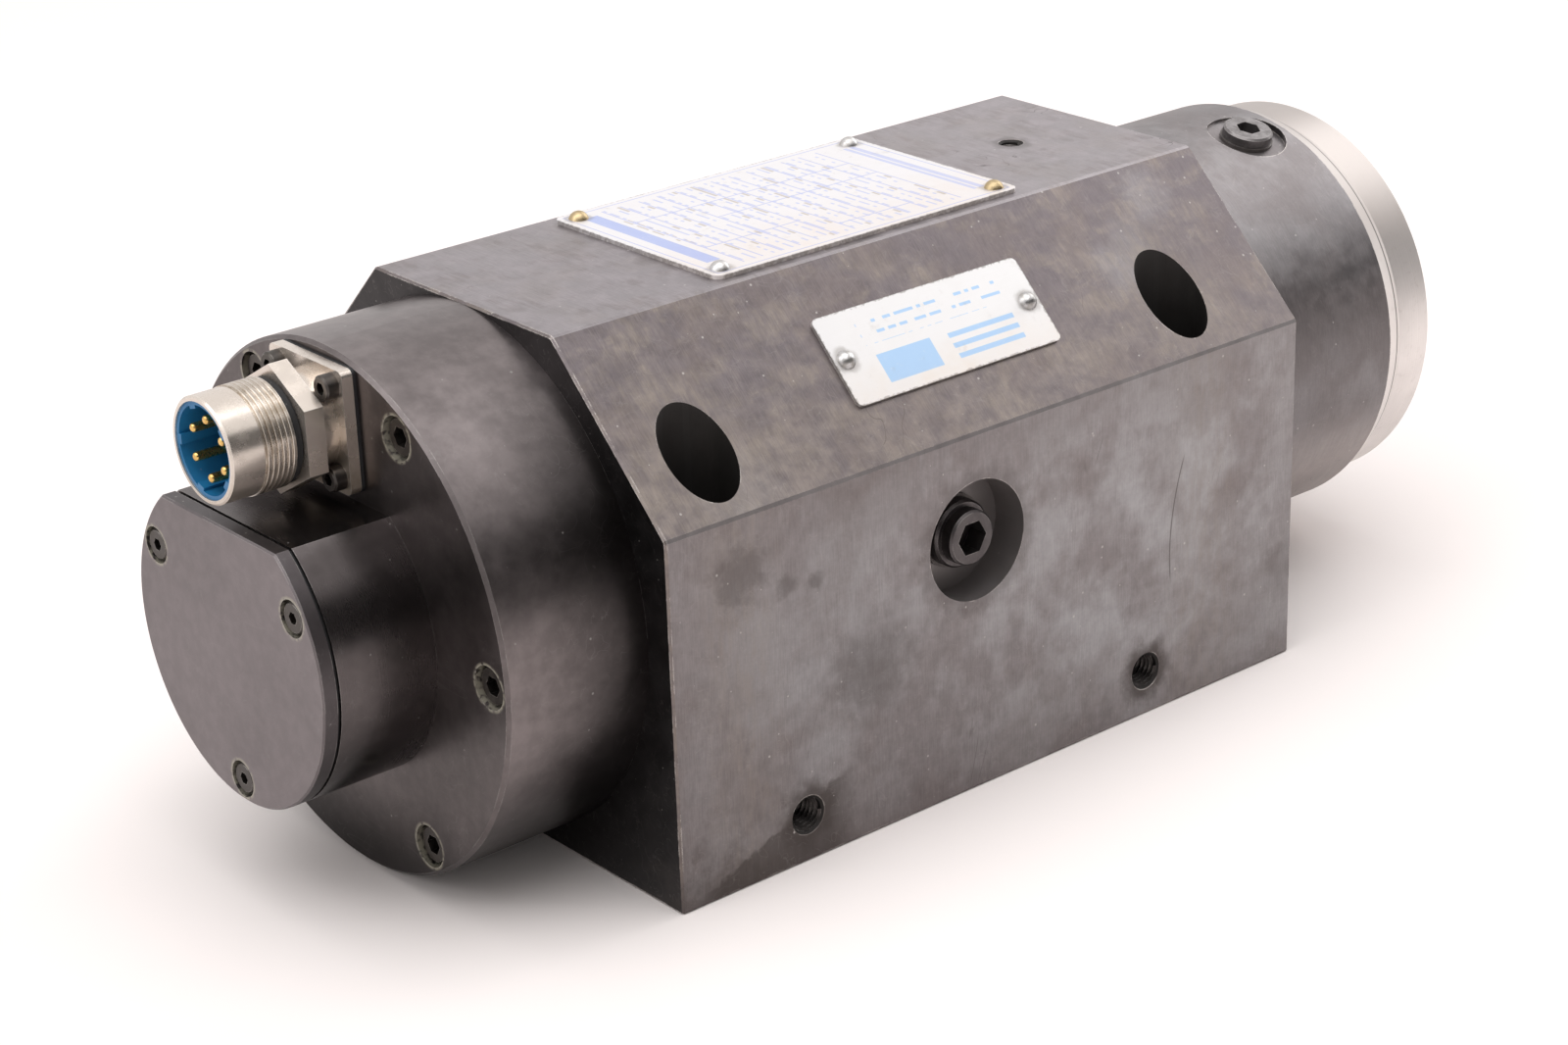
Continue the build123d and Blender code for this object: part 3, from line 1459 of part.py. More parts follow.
with BuildPart() as connector_seal:
    revolve(
        connector_turned(
            (thread_x, shell_seal_seat_dia / 2),
            (seal_seat_x, shell_seal_seat_dia / 2),
            (seal_seat_x, shell_seal_dia / 2 - screw_edge),
            (seal_seat_x - screw_edge, shell_seal_dia / 2),
            (thread_x + screw_edge, shell_seal_dia / 2),
            (thread_x, shell_seal_dia / 2 - screw_edge),
        ),
        axis=connector_axis,
    )
connector_seal.part.label = "connector_seal"
export_step(connector_seal.part, "parts/connector_seal.step")

insert_inner_radius = shell_mouth_dia / 2 - insert_wall
key_middle_radius = insert_inner_radius - key_height / 2 + insert_wall / 4
pin_end_x = mouth_x + pin_setback + pin_length
with BuildPart() as connector_insert:
    revolve(
        connector_turned(
            (insert_end_x, 0),
            (insert_end_x, shell_bore_dia / 2),
            (mouth_floor_x, shell_bore_dia / 2),
            (mouth_floor_x, shell_mouth_dia / 2),
            (mouth_x + insert_setback, shell_mouth_dia / 2),
            (mouth_x + insert_setback, insert_inner_radius),
            (mouth_floor_x - insert_floor, insert_inner_radius),
            (mouth_floor_x - insert_floor, 0),
        ),
        axis=connector_axis,
    )
    with BuildSketch(across(mouth_x + insert_setback)):
        with Locations(connector_centre):
            with PolarLocations(key_middle_radius, key_count):
                Rectangle(key_height + insert_wall / 2, key_width)
    extrude(amount=mouth_floor_x - mouth_x - insert_setback)
    with BuildSketch(across(mouth_floor_x - insert_floor)):
        with Locations(connector_centre):
            with PolarLocations(pin_circle / 2, pin_count, 180 / pin_count):
                Circle(pin_dia / 2)
    extrude(amount=pin_end_x - mouth_floor_x + insert_floor, mode=Mode.SUBTRACT)
connector_insert.part.label = "connector_insert"
export_step(connector_insert.part, "parts/connector_insert.step")

with BuildPart() as connector_pins:
    with BuildSketch(across(mouth_x + pin_setback)):
        with Locations(connector_centre):
            with PolarLocations(pin_circle / 2, pin_count, 180 / pin_count):
                Circle(pin_dia / 2)
    extrude(amount=pin_length)
    fillet(connector_pins.edges().group_by(Axis.X)[0], pin_tip)
connector_pins.part.label = "connector_pins"
export_step(connector_pins.part, "parts/connector_pins.step")

# Leads from the connector to the winding
lead_points = (
    (insert_end_x, connector_height),
    (insert_end_x + lead_straight_length, connector_height),
    (bush_front_x - lead_before_bush_end, lead_passage_height),
    (rear_x + lead_inside_block, lead_end_height),
    (-motor_length / 2 - end_turn_length, lead_end_height),
)
with BuildPart() as winding_leads:
    for index in range(lead_count):
        lead_y = (index - (lead_count - 1) / 2) * lead_spacing
        with BuildLine(Plane(origin=(0, lead_y, axis_height), x_dir=(1, 0, 0), z_dir=(0, -1, 0))):
            lead_path = FilletPolyline(*lead_points, radius=lead_bend)
        lead_start = Vector(insert_end_x, lead_y, axis_height + connector_height)
        with BuildSketch(Plane(origin=lead_start, x_dir=(0, 1, 0), z_dir=(1, 0, 0))):
            Circle(lead_dia / 2)
        sweep(path=lead_path)
winding_leads.part.label = "winding_leads"
export_step(winding_leads.part, "parts/winding_leads.step")
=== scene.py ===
"""Finishes, small modelled pieces, camera and studio for the motor spindle in its clamping block.

Places in the materials are in millimetres in the part's own frame: X runs along the spindle axis
towards the nose, Z is up from the base, and the axis lies 60 mm above it.
"""

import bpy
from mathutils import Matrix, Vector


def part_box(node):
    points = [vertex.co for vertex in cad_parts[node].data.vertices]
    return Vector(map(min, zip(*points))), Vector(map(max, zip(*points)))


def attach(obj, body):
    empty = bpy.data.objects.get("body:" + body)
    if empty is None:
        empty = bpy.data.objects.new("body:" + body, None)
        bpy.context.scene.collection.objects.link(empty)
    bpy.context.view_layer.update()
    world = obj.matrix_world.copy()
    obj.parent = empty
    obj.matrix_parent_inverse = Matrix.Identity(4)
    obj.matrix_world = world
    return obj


bl_info = {
    "name": "Motor Spindle Finishes",
    "version": (1, 0, 0),
    "blender": (4, 5, 0),
    "location": "3D View > Sidebar > Spindle",
    "description": "Dresses the motor spindle with its finishes, threads, camera and studio",
    "category": "Object",
}

from functools import reduce
from math import cos, pi, radians, sin
from types import SimpleNamespace

import bpy
from bpy.props import FloatProperty, FloatVectorProperty, PointerProperty
from mathutils import Matrix, Vector

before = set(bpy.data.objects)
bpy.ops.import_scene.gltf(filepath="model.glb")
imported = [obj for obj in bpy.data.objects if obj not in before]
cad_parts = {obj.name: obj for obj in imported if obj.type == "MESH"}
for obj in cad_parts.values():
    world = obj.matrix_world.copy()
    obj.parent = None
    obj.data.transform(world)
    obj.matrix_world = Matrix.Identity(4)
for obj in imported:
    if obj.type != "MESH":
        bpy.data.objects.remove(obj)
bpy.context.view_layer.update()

MM = 0.001
block_low, block_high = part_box("housing_block")
axis_height = (block_low.z + block_high.z) / 2

# Places and radii on the block, in millimetres
NOSE_LENGTH = 51.6
BLOCK_HALF = 94.0
SIDE_TOP = 85.0
RIM_MARGIN = 3.0
CLAMP_MIDDLE_X, CLAMP_HALF_X, CLAMP_Y, CLAMP_RADIUS = -6.3, 69.5, 55.7, 8.45
PORT_X, PORT_Z, RECESS_RADIUS, RECESS_FLOOR_Y = -8.6, 60.0, 14.04, 50.0
TAPPED_MIDDLE_X, TAPPED_HALF_X, TAPPED_Z, TAPPED_RADIUS = -7.25, 51.75, 11.0, 4.5
LIFTING_X, LIFTING_RADIUS = 66.3, 3.0

# Soft spots on one half of the block: middle, radius, fade and strength
PALE_SMEARS = (
    ((54.5, 49.0, 103.0), 1.5, 9.0, 0.24),
    ((60.5, 45.0, 107.0), 1.0, 8.0, 0.20),
    ((72.0, 38.0, 114.0), 2.0, 8.0, 0.20),
    ((-72.0, 64.0, 88.0), 3.0, 12.0, 0.16),
)
OIL_SMUDGES = (
    ((-86.0, 67.0, -4.0), 7.0, 13.0, 0.45),
    ((-75.3, 67.0, 72.0), 3.2, 6.0, 0.45),
    ((-63.0, 67.0, 66.0), 0.8, 2.8, 0.50),
    ((-55.5, 67.0, 64.5), 0.6, 2.6, 0.50),
    ((-40.0, 67.0, 39.5), 3.0, 13.0, 0.50),
    ((90.0, 67.0, 24.0), 2.0, 9.0, 0.25),
)

# How far a face must look one way to take that side's colour, partly finish and partly painted light, from
# not at all to fully
FACING = (0.80, 0.95)
# How metallic the blackened steel is
BLACKENED = 0.96
# Half width in millimetres of the soft rim of printed marks
PRINT_SOFTNESS = 0.06
INK_STRENGTH = {"bar": 0.57, "block": 0.72, "ruling": 0.55, "words": 0.62, "field": 0.58}
# Turns of thread in each side hole and in the hole on top
SIDE_TURNS, TOP_TURNS = 8, 10


def colour(label, default, note):
    return FloatVectorProperty(
        name=label, description=note, default=default, subtype="COLOR", size=3, min=0.0, max=1.0
    )


def share(label, default, note):
    return FloatProperty(name=label, description=note, default=default, min=0.0, max=1.0, subtype="FACTOR")


def length(label, default, note):
    return FloatProperty(name=label, description=note, default=default, min=0.0, unit="LENGTH")


def power(label, default, note):
    return FloatProperty(name=label, description=note, default=default, min=0.0, unit="POWER")


class BlockSettings(bpy.types.PropertyGroup):
    # Side, Top, Chamfer and Nose are partly the finish and partly painted light, each set to the brightness
    # its face shows
    side: colour("Side", (0.236, 0.216, 0.218), "Ground side faces of the clamping block")
    top: colour("Top", (0.312, 0.286, 0.300), "Blackened top face")
    chamfer: colour("Chamfer", (0.160, 0.140, 0.149), "Sloping faces along the top")
    # End is painted shade: the face around the rear housing, near black
    end: colour("End", (0.045, 0.042, 0.043), "Face around the rear housing")
    nose: colour("Nose", (0.210, 0.196, 0.200), "Turned nose")
    stain: colour("Stain", (0.175, 0.146, 0.140), "Brown oxide in the blackening")
    tan: colour("Tan", (0.258, 0.222, 0.196), "Lighter rubbed patches on the slopes")
    haze: colour("Haze", (0.385, 0.378, 0.388), "Blue-grey haze")
    oil: colour("Oil", (0.075, 0.064, 0.060), "Oil and smudges")
    recess: colour("Recess", (0.200, 0.182, 0.178), "Walls of the plug recesses")
    bare: colour("Bare steel", (0.70, 0.66, 0.62), "Steel where an edge has worn through")
    wear: share("Wear", 0.45, "How much of the edges has worn through")


class HousingSettings(bpy.types.PropertyGroup):
    housing: colour("Rear housing", (0.184, 0.161, 0.160), "Rear housing and encoder housing")
    lid: colour("Lid", (0.164, 0.146, 0.150), "Encoder housing lid")
    bare: colour("Rubbed edge", (0.52, 0.50, 0.48), "Edges rubbed bright")
    residue: colour("Residue", (0.33, 0.31, 0.24), "Dried residue around the screw heads")
    rubber: colour("Gasket", (0.012, 0.012, 0.013), "Gaskets and sealing rings")


class BandSettings(bpy.types.PropertyGroup):
    steel: colour("Ground steel", (0.90, 0.855, 0.83), "Front cover and labyrinth ring")
    shadow: colour("Handled steel", (0.58, 0.55, 0.54), "Duller patches on the bands")
    # painted shade: this darker, warmer colour covers the upper half of the bands
    top_shade: colour("Oil film", (0.43, 0.390, 0.370), "Thin film on the upper half of the bands")
    pitch: length("Turning pitch", 0.22 * MM, "Distance between turning marks")


class FastenerSettings(bpy.types.PropertyGroup):
    black: colour("Black screws", (0.064, 0.058, 0.056), "Black oxide screws")
    bright: colour("Bright screws", (0.50, 0.49, 0.47), "Zinc plated screws")
    plug: colour("Blanking plugs", (0.115, 0.105, 0.105), "Plugs of the coolant and lubrication ports")
    washer: colour("Port washer", (0.15, 0.135, 0.13), "Sealing rings under the plugs")
    m8_pitch: length("M8 pitch", 1.25 * MM, "Pitch of the side threads")
    m5_pitch: length("M5 pitch", 0.8 * MM, "Pitch of the thread on top")


class PlateSettings(bpy.types.PropertyGroup):
    silver: colour("Rating plate", (0.785, 0.766, 0.78), "Anodised face of the plate on top")
    small_silver: colour("Name plate", (0.75, 0.74, 0.742), "Anodised face of the plate on the slope")
    ruling: colour("Ruled lines", (0.26, 0.33, 0.72), "Thin lines on the rating plate")
    words: colour("Pale dashes", (0.40, 0.46, 0.76), "Rows of short dashes")
    bar: colour("Bars", (0.17, 0.29, 0.74), "Solid bars on the rating plate")
    block: colour("Blocks", (0.26, 0.50, 0.80), "Blocks on the small plate")
    field: colour("Fields", (0.38, 0.31, 0.24), "Dashes in the ruled fields")
    brass: colour("Brassy rivet", (0.52, 0.38, 0.17), "Tarnished rivets")
    row: length("Row height", 5.3 * MM, "Distance between the ruled rows")


class ConnectorSettings(bpy.types.PropertyGroup):
    nickel: colour("Nickel", (0.715, 0.645, 0.580), "Plated shell and flange")
    dirt: colour("Tarnish", (0.20, 0.15, 0.085), "Brown tarnish in the grooves")
    insert: colour("Insert", (0.016, 0.165, 0.36), "Moulded insert with the key ribs")
    gold: colour("Pins", (0.86, 0.58, 0.20), "Gilt contact pins")


class InnerSettings(bpy.types.PropertyGroup):
    steel: colour("Shaft steel", (0.56, 0.56, 0.57), "Ground shaft, spacers and nuts")
    bearing: colour("Bearing steel", (0.66, 0.66, 0.67), "Rings and balls")
    collet: colour("Collet steel", (0.42, 0.42, 0.43), "Hardened collet and nut")
    cage: colour("Cage", (0.22, 0.12, 0.055), "Fabric-filled resin cages")
    laminations: colour("Laminations", (0.22, 0.23, 0.25), "Stacked rotor and stator sheets")
    copper: colour("Winding", (0.55, 0.20, 0.075), "Enamelled copper wire")
    jacket: colour("Aluminium", (0.68, 0.69, 0.71), "Cooling jacket and rotor end rings")
    wheel: colour("Encoder wheel", (0.50, 0.50, 0.51), "Toothed wheel")
    sensor: colour("Read head", (0.030, 0.032, 0.036), "Moulded read head")
    lead: colour("Lead insulation", (0.40, 0.040, 0.030), "Winding leads")


class StudioSettings(bpy.types.PropertyGroup):
    floor: colour("Floor", (0.88, 0.825, 0.808), "Pale floor")
    floor_size: length("Floor size", 12.0, "Side of the square floor")
    level: FloatProperty(
        name="Room light", description="Light of the room on the object", default=0.56, min=0.0
    )
    key: power("Key", 37.0, "Softbox above")
    fill: power("Fill", 4.0, "Softbox beyond the encoder end")
    rim: power("Rim", 4.5, "Softbox beyond the nose")
    lens: FloatProperty(
        name="Lens", description="Focal length", default=76.94, min=1.0, subtype="DISTANCE_CAMERA"
    )
    place: FloatVectorProperty(
        name="Camera place", description="Where the camera stands", default=(-0.4678, -0.5576, 0.3478),
        subtype="TRANSLATION", unit="LENGTH", size=3,
    )
    turn: FloatVectorProperty(
        name="Camera turn", description="Yaw from +X, pitch up and roll of the camera",
        default=(radians(50.475), radians(-22.807), radians(-1.973)),
        subtype="EULER", unit="ROTATION", size=3,
    )


class SpindleSettings(bpy.types.PropertyGroup):
    block: PointerProperty(type=BlockSettings, name="Block", description="Clamping block")
    housing: PointerProperty(type=HousingSettings, name="Housings", description="Rear housings")
    band: PointerProperty(type=BandSettings, name="Bands", description="Bright front bands")
    fastener: PointerProperty(
        type=FastenerSettings, name="Fasteners", description="Screws, plugs and threads"
    )
    plate: PointerProperty(type=PlateSettings, name="Plates", description="Plates and rivets")
    connector: PointerProperty(type=ConnectorSettings, name="Connector", description="Power connector")
    inner: PointerProperty(type=InnerSettings, name="Inside", description="Moving and inner pieces")
    studio: PointerProperty(type=StudioSettings, name="Studio", description="Floor, lamps and camera")
# Node trees


class Sheet:
    """One node tree, with short calls that add a node and return its output."""

    def __init__(self, tree):
        self.tree = tree

    def put(self, socket, value):
        if isinstance(value, bpy.types.NodeSocket):
            self.tree.links.new(value, socket)
            return
        if hasattr(value, "__len__"):
            value = tuple(value)
            if len(socket.default_value) == 4 and len(value) == 3:
                value += (1.0,)
        socket.default_value = value

    def node(self, kind, values=None, **settings):
        node = self.tree.nodes.new(kind)
        for key, value in settings.items():
            setattr(node, key, value)
        for key, value in (values or {}).items():
            self.put(node.inputs[key], value)
        return node

    def math(self, operation, *values):
        return self.node("ShaderNodeMath", dict(enumerate(values)), operation=operation).outputs[0]

    def vector(self, operation, *values, output=0):
        return self.node("ShaderNodeVectorMath", dict(enumerate(values)), operation=operation).outputs[output]

    def chain(self, operation, values):
        return reduce(lambda first, second: self.math(operation, first, second), values)

    def add(self, *values):
        return self.chain("ADD", values)

    def times(self, *values):
        return self.chain("MULTIPLY", values)

    def most(self, *values):
        return self.chain("MAXIMUM", values)

    def least(self, *values):
        return self.chain("MINIMUM", values)

    def minus(self, first, second):
        return self.math("SUBTRACT", first, second)

    def over(self, first, second):
        return self.math("DIVIDE", first, second)

    def below(self, value, limit):
        return self.math("LESS_THAN", value, limit)

    def size(self, value):
        return self.math("ABSOLUTE", value)

    def apart(self, first, second):
        return self.size(self.minus(first, second))

    def parts(self, vector):
        return self.node("ShaderNodeSeparateXYZ", {0: vector}).outputs

    def join(self, x, y, z):
        return self.node("ShaderNodeCombineXYZ", {0: x, 1: y, 2: z}).outputs[0]

    def moved(self, place, step):
        return self.vector("ADD", place, step)

    def ramp(self, value, low, high, start=0.0, end=1.0):
        """Start below low and end above high, or the other way round where low is the larger."""
        values = {"Value": value, "From Min": low, "From Max": high, "To Min": start, "To Max": end}
        return self.node("ShaderNodeMapRange", values, interpolation_type="SMOOTHSTEP").outputs[0]

    def band(self, value, start, full, fading, gone):
        """Rises from start to full and falls again from fading to gone."""
        return self.times(self.ramp(value, start, full), self.ramp(value, gone, fading))

    def blend(self, factor, first, second):
        return self.node("ShaderNodeMix", {0: factor, 2: first, 3: second}, data_type="FLOAT").outputs[0]

    def mix(self, factor, first, second, way="MIX"):
        values = {0: factor, 6: first, 7: second}
        return self.node("ShaderNodeMix", values, data_type="RGBA", blend_type=way).outputs[2]

    def dim(self, base, light):
        return self.mix(1.0, base, self.join(light, light, light), "MULTIPLY")

    def group(self, name, **values):
        """A shared group. Each keyword is the name of an input in small letters."""
        named = {key.replace("_", " ").title(): value for key, value in values.items()}
        return self.node("ShaderNodeGroup", named, node_tree=shared_group(name)).outputs

    def clouds(self, place, size, low, high, detail=4.0, stretch=(1.0, 1.0, 1.0)):
        values = {"place": place, "size": size, "stretch": stretch, "detail": detail}
        return self.group("Clouds", low=low, high=high, **values)[0]

    def scratches(self, place, degrees, spacing, length, width, cover):
        turn = tuple(radians(angle) for angle in degrees)
        values = {"spacing": spacing, "length": length, "width": width, "cover": cover}
        return self.group("Scratches", place=place, turn=turn, **values)[0]

    def dust(self, place, spacing, speck):
        return self.group("Dust", place=place, spacing=spacing, speck=speck)[0]

    def halo(self, place, centre, radius, fade, ragged):
        return self.group("Halo", place=place, centre=centre, radius=radius, fade=fade, ragged=ragged)[0]

    def turning(self, pitch, swirl):
        return self.group("Turning", pitch=pitch, swirl=swirl)[0]

    def worn_edge(self, place, width, patch_size, amount):
        values = {"patch_size": patch_size, "amount": amount}
        return self.group("Edge Wear", place=place, width=width * MM, **values)[0]

    def bar(self, place, low, high):
        return self.group("Printed Bar", place=place, low=(*low, 0.0), high=(*high, 0.0))[0]


# Shared node groups: each function gets the sheet and the group's inputs and returns its outputs


def part_place(s, _):
    """Place in millimetres, the face's direction, and the distance and angle about the spindle axis."""
    coords = s.node("ShaderNodeTexCoord").outputs
    scaled = s.node("ShaderNodeVectorMath", {0: coords["Object"], "Scale": 1 / MM}, operation="SCALE")
    place = scaled.outputs[0]
    x, y, z = s.parts(place)
    up = s.minus(z, axis_height / MM)
    radius = s.math("SQRT", s.add(s.times(y, y), s.times(up, up)))
    around = s.math("ARCTAN2", up, y)
    return {"Place": place, "Normal": coords["Normal"], "Along": x, "Radius": radius, "Around": around}


def clouds(s, i):
    """Soft patches of about Size, pulled out along Stretch."""
    stretched = s.vector("MULTIPLY", i["Place"], i["Stretch"])
    spread = s.vector("DIVIDE", stretched, s.join(i["Size"], i["Size"], i["Size"]))
    values = {"Vector": spread, "Scale": 1.0, "Detail": i["Detail"], "Roughness": 0.58}
    return {"Mask": s.ramp(s.node("ShaderNodeTexNoise", values).outputs[0], i["Low"], i["High"])}


def edge_wear(s, i):
    """Bright line where a sharp edge has rubbed through, broken up by patches."""
    soft = s.node("ShaderNodeBevel", {"Radius": i["Width"]}, samples=4).outputs[0]
    hard = s.node("ShaderNodeNewGeometry").outputs["Normal"]
    turn = s.ramp(s.vector("DOT_PRODUCT", soft, hard, output=1), 0.995, 0.86)
    patches = s.clouds(i["Place"], i["Patch Size"], 0.62, 0.40)
    fine = s.clouds(i["Place"], 0.9, 0.3, 0.7)
    broken = s.add(s.times(patches, 0.8), s.times(fine, 0.5))
    reach = s.add(s.minus(broken, 1.0), i["Amount"])
    return {"Mask": s.times(turn, s.ramp(reach, 0.0, 0.55))}


def turning(s, i):
    """Lathe marks: rings on the end faces and bands along the round ones."""
    part = s.group("Part Place")
    facing = s.size(s.parts(part["Normal"])[0])
    run = s.blend(s.math("GREATER_THAN", facing, 0.7), part["Along"], part["Radius"])
    sway = s.times(s.clouds(part["Place"], 14.0, 0.2, 0.8), i["Swirl"])
    line = s.over(s.add(run, sway), i["Pitch"])
    noise = s.node("ShaderNodeTexNoise", {"W": line, "Scale": 1.0, "Detail": 3.0}, noise_dimensions="1D")
    return {"Height": noise.outputs[0]}


def halo(s, i):
    """One inside Radius of Centre, falling to nothing over Fade, with a ragged rim."""
    far = s.vector("DISTANCE", i["Place"], i["Centre"], output=1)
    rag = s.clouds(i["Place"], 4.0, 0.2, 0.8)
    far = s.add(far, s.times(s.minus(rag, 0.5), i["Ragged"]))
    return {"Mask": s.ramp(far, s.add(i["Radius"], i["Fade"]), i["Radius"])}


def screw_pockets(s, i):
    """Distance in millimetres to the nearest of Count screw centres on a circle about the axis."""
    part = s.group("Part Place")
    step = s.over(2 * pi, i["Count"])
    half = s.times(step, 0.5)
    turned = s.add(s.minus(part["Around"], i["First"]), half)
    angle = s.minus(s.math("FLOORED_MODULO", turned, step), half)
    radius, circle = part["Radius"], i["Circle Radius"]
    squares = s.add(s.times(radius, radius), s.times(circle, circle))
    across = s.times(2.0, radius, circle, s.math("COSINE", angle))
    return {"Distance": s.math("SQRT", s.most(s.minus(squares, across), 0.0))}


def scratches(s, i):
    """Long thin lines that run along X once the place has been turned by Turn."""
    values = {"Vector": i["Place"], "Rotation": i["Turn"]}
    turned = s.node("ShaderNodeVectorRotate", values, rotation_type="EULER_XYZ").outputs[0]
    x, y, z = s.parts(turned)
    spacing = i["Spacing"]
    long = s.join(s.over(x, s.times(spacing, i["Length"])), s.over(y, spacing), s.over(z, spacing))
    line = s.node("ShaderNodeTexNoise", {"Vector": long, "Scale": 1.0, "Detail": 1.0}).outputs[0]
    thin = s.ramp(s.apart(line, 0.5), i["Width"], 0.0)
    low = s.minus(0.75, s.times(i["Cover"], 0.5))
    high = s.minus(0.85, s.times(i["Cover"], 0.5))
    return {"Mask": s.times(thin, s.clouds(turned, s.times(spacing, 2.4), low, high, 1.0))}


def dust(s, i):
    """Specks of mixed size, about one for each Spacing."""
    spread = s.vector("DIVIDE", i["Place"], s.join(i["Spacing"], i["Spacing"], i["Spacing"]))
    cells = s.node("ShaderNodeTexVoronoi", {"Vector": spread, "Scale": 1.0}).outputs
    chance = s.parts(cells["Color"])[0]
    size = s.times(i["Speck"], chance, chance)
    return {"Mask": s.ramp(cells["Distance"], size, s.times(size, 0.5))}


def printed_bar(s, i):
    """One inside a rectangle of the plane place, Low to High, with a slightly soft rim."""
    x, y, _ = s.parts(i["Place"])
    low_x, low_y, _ = s.parts(i["Low"])
    high_x, high_y, _ = s.parts(i["High"])
    inside = s.least(s.minus(x, low_x), s.minus(high_x, x), s.minus(y, low_y), s.minus(high_y, y))
    return {"Mask": s.ramp(inside, -PRINT_SOFTNESS, PRINT_SOFTNESS)}


def dash_rows(s, i):
    """Rows of plain short dashes: rows follow each other along the place's first axis."""
    across, run, _ = s.parts(i["Place"])
    row = s.over(across, i["Row Pitch"])
    middle = s.times(s.apart(s.math("FRACT", row), 0.5), i["Row Pitch"])
    cell = s.join(s.math("FLOOR", s.over(run, i["Dash"])), s.math("FLOOR", row), i["Seed"])
    chance = s.node("ShaderNodeTexWhiteNoise", {"Vector": cell}, noise_dimensions="3D").outputs["Value"]
    width = i["Half Width"]
    line = s.ramp(middle, s.add(width, PRINT_SOFTNESS), s.minus(width, PRINT_SOFTNESS))
    return {"Mask": s.times(s.below(chance, i["Cover"]), line)}


# The inputs of each group with their usual values, and None for a place that is always given
GROUPS = {
    "Part Place": (part_place, {}),
    "Clouds": (clouds, {
        "Place": None, "Size": 10.0, "Stretch": (1.0, 1.0, 1.0), "Detail": 4.0, "Low": 0.35, "High": 0.65,
    }),
    "Edge Wear": (edge_wear, {"Place": None, "Width": 0.5 * MM, "Patch Size": 6.0, "Amount": 0.5}),
    "Turning": (turning, {"Pitch": 0.3, "Swirl": 0.25}),
    "Halo": (halo, {"Place": None, "Centre": (0.0, 0.0, 0.0), "Radius": 5.0, "Fade": 3.0, "Ragged": 1.5}),
    "Screw Pockets": (screw_pockets, {"Circle Radius": 50.0, "Count": 6.0, "First": 0.0}),
    "Scratches": (scratches, {
        "Place": None, "Turn": (0.0, 0.0, 0.0), "Spacing": 8.0, "Length": 12.0, "Width": 0.02, "Cover": 0.3,
    }),
    "Dust": (dust, {"Place": None, "Spacing": 4.0, "Speck": 0.12}),
    "Printed Bar": (printed_bar, {"Place": None, "Low": (0.0, 0.0, 0.0), "High": (1.0, 1.0, 0.0)}),
    "Dash Rows": (dash_rows, {
        "Place": None, "Row Pitch": 4.0, "Dash": 1.5, "Half Width": 0.3, "Cover": 0.4, "Seed": 0.0,
    }),
}


def shared_group(name):
    """The group of this name, which is built when it is first asked for."""
    if name in bpy.data.node_groups:
        return bpy.data.node_groups[name]
    build, inputs = GROUPS[name]
    tree = bpy.data.node_groups.new(name, "ShaderNodeTree")
    for label, value in inputs.items():
        kind = "NodeSocketFloat" if isinstance(value, float) else "NodeSocketVector"
        socket = tree.interface.new_socket(label, in_out="INPUT", socket_type=kind)
        if value is not None:
            socket.default_value = value
    s = Sheet(tree)
    results = build(s, s.node("NodeGroupInput").outputs)
    for label, value in results.items():
        kind = "NodeSocketVector" if value.type == "VECTOR" else "NodeSocketFloat"
        tree.interface.new_socket(label, in_out="OUTPUT", socket_type=kind)
    s.node("NodeGroupOutput", results)
    return tree


# Finishes


def new_finish(name):
    """An empty material, its sheet and the place on the part."""
    material = bpy.data.materials.new(name)
    material.use_nodes = True
    material.node_tree.nodes.clear()
    sheet = Sheet(material.node_tree)
    return material, sheet, sheet.group("Part Place")


def close_finish(sheet, base, roughness, metallic=0.0, height=None, depth=0.02, strength=1.0, **plain):
    """The shader, its bump of depth millimetres and the output."""
    values = {"Base Color": base, "Roughness": roughness, "Metallic": metallic}
    values.update({key.replace("_", " "): value for key, value in plain.items()})
    if height is not None:
        bump = {"Height": height, "Distance": depth * MM, "Strength": strength}
        values["Normal"] = sheet.node("ShaderNodeBump", bump).outputs[0]
    shader = sheet.node("ShaderNodeBsdfPrincipled", values)
    sheet.node("ShaderNodeOutputMaterial", {"Surface": shader.outputs[0]})


def dress(material, *names):
    """Gives the CAD nodes this finish."""
    for name in names:
        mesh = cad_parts[name].data
        mesh.materials.clear()
        mesh.materials.append(material)


def block_patches(s, place, x, y, z):
    """The cloudy masks that the faces of the block share."""
    # one coordinate that runs down the section, over the top, the slopes and the sides
    down = s.minus(z, s.size(y))
    return SimpleNamespace(
        broad=s.clouds(place, 34.0, 0.40, 0.60, 8.0),
        drift=s.clouds(s.moved(place, (37.0, 11.0, 53.0)), 17.0, 0.47, 0.63, 8.0),
        mottle=s.clouds(place, 4.2, 0.34, 0.68, 8.0),
        speckle=s.clouds(place, 0.8, 0.3, 0.7, 3.0),
        swirl=s.clouds(s.moved(place, (5.0, 71.0, 9.0)), 9.0, 0.45, 0.60, 8.0, (0.6, 1.2, 1.2)),
        fleck=s.clouds(s.join(x, s.times(down, 0.6), 8.0), 3.4, 0.42, 0.70, 9.0),
        smear=s.clouds(s.join(x, s.times(down, 0.22), 3.0), 1.8, 0.40, 0.64, 5.0),
        brushed=s.clouds(s.join(x, s.times(down, 0.05), 0.0), 0.30, 0.25, 0.75, 2.0),
    )


def smudges(s, place, spots, ragged_share, ragged_least):
    """The strongest of these soft spots, which lie on both halves of the block."""
    strongest = 0.0
    for half in (-1.0, 1.0):
        for (x, y, z), radius, fade, strength in spots:
            ragged = radius * ragged_share + ragged_least
            spot = s.halo(place, (x, half * y, z), radius, fade, ragged)
            strongest = s.most(strongest, s.times(spot, strength))
    return strongest


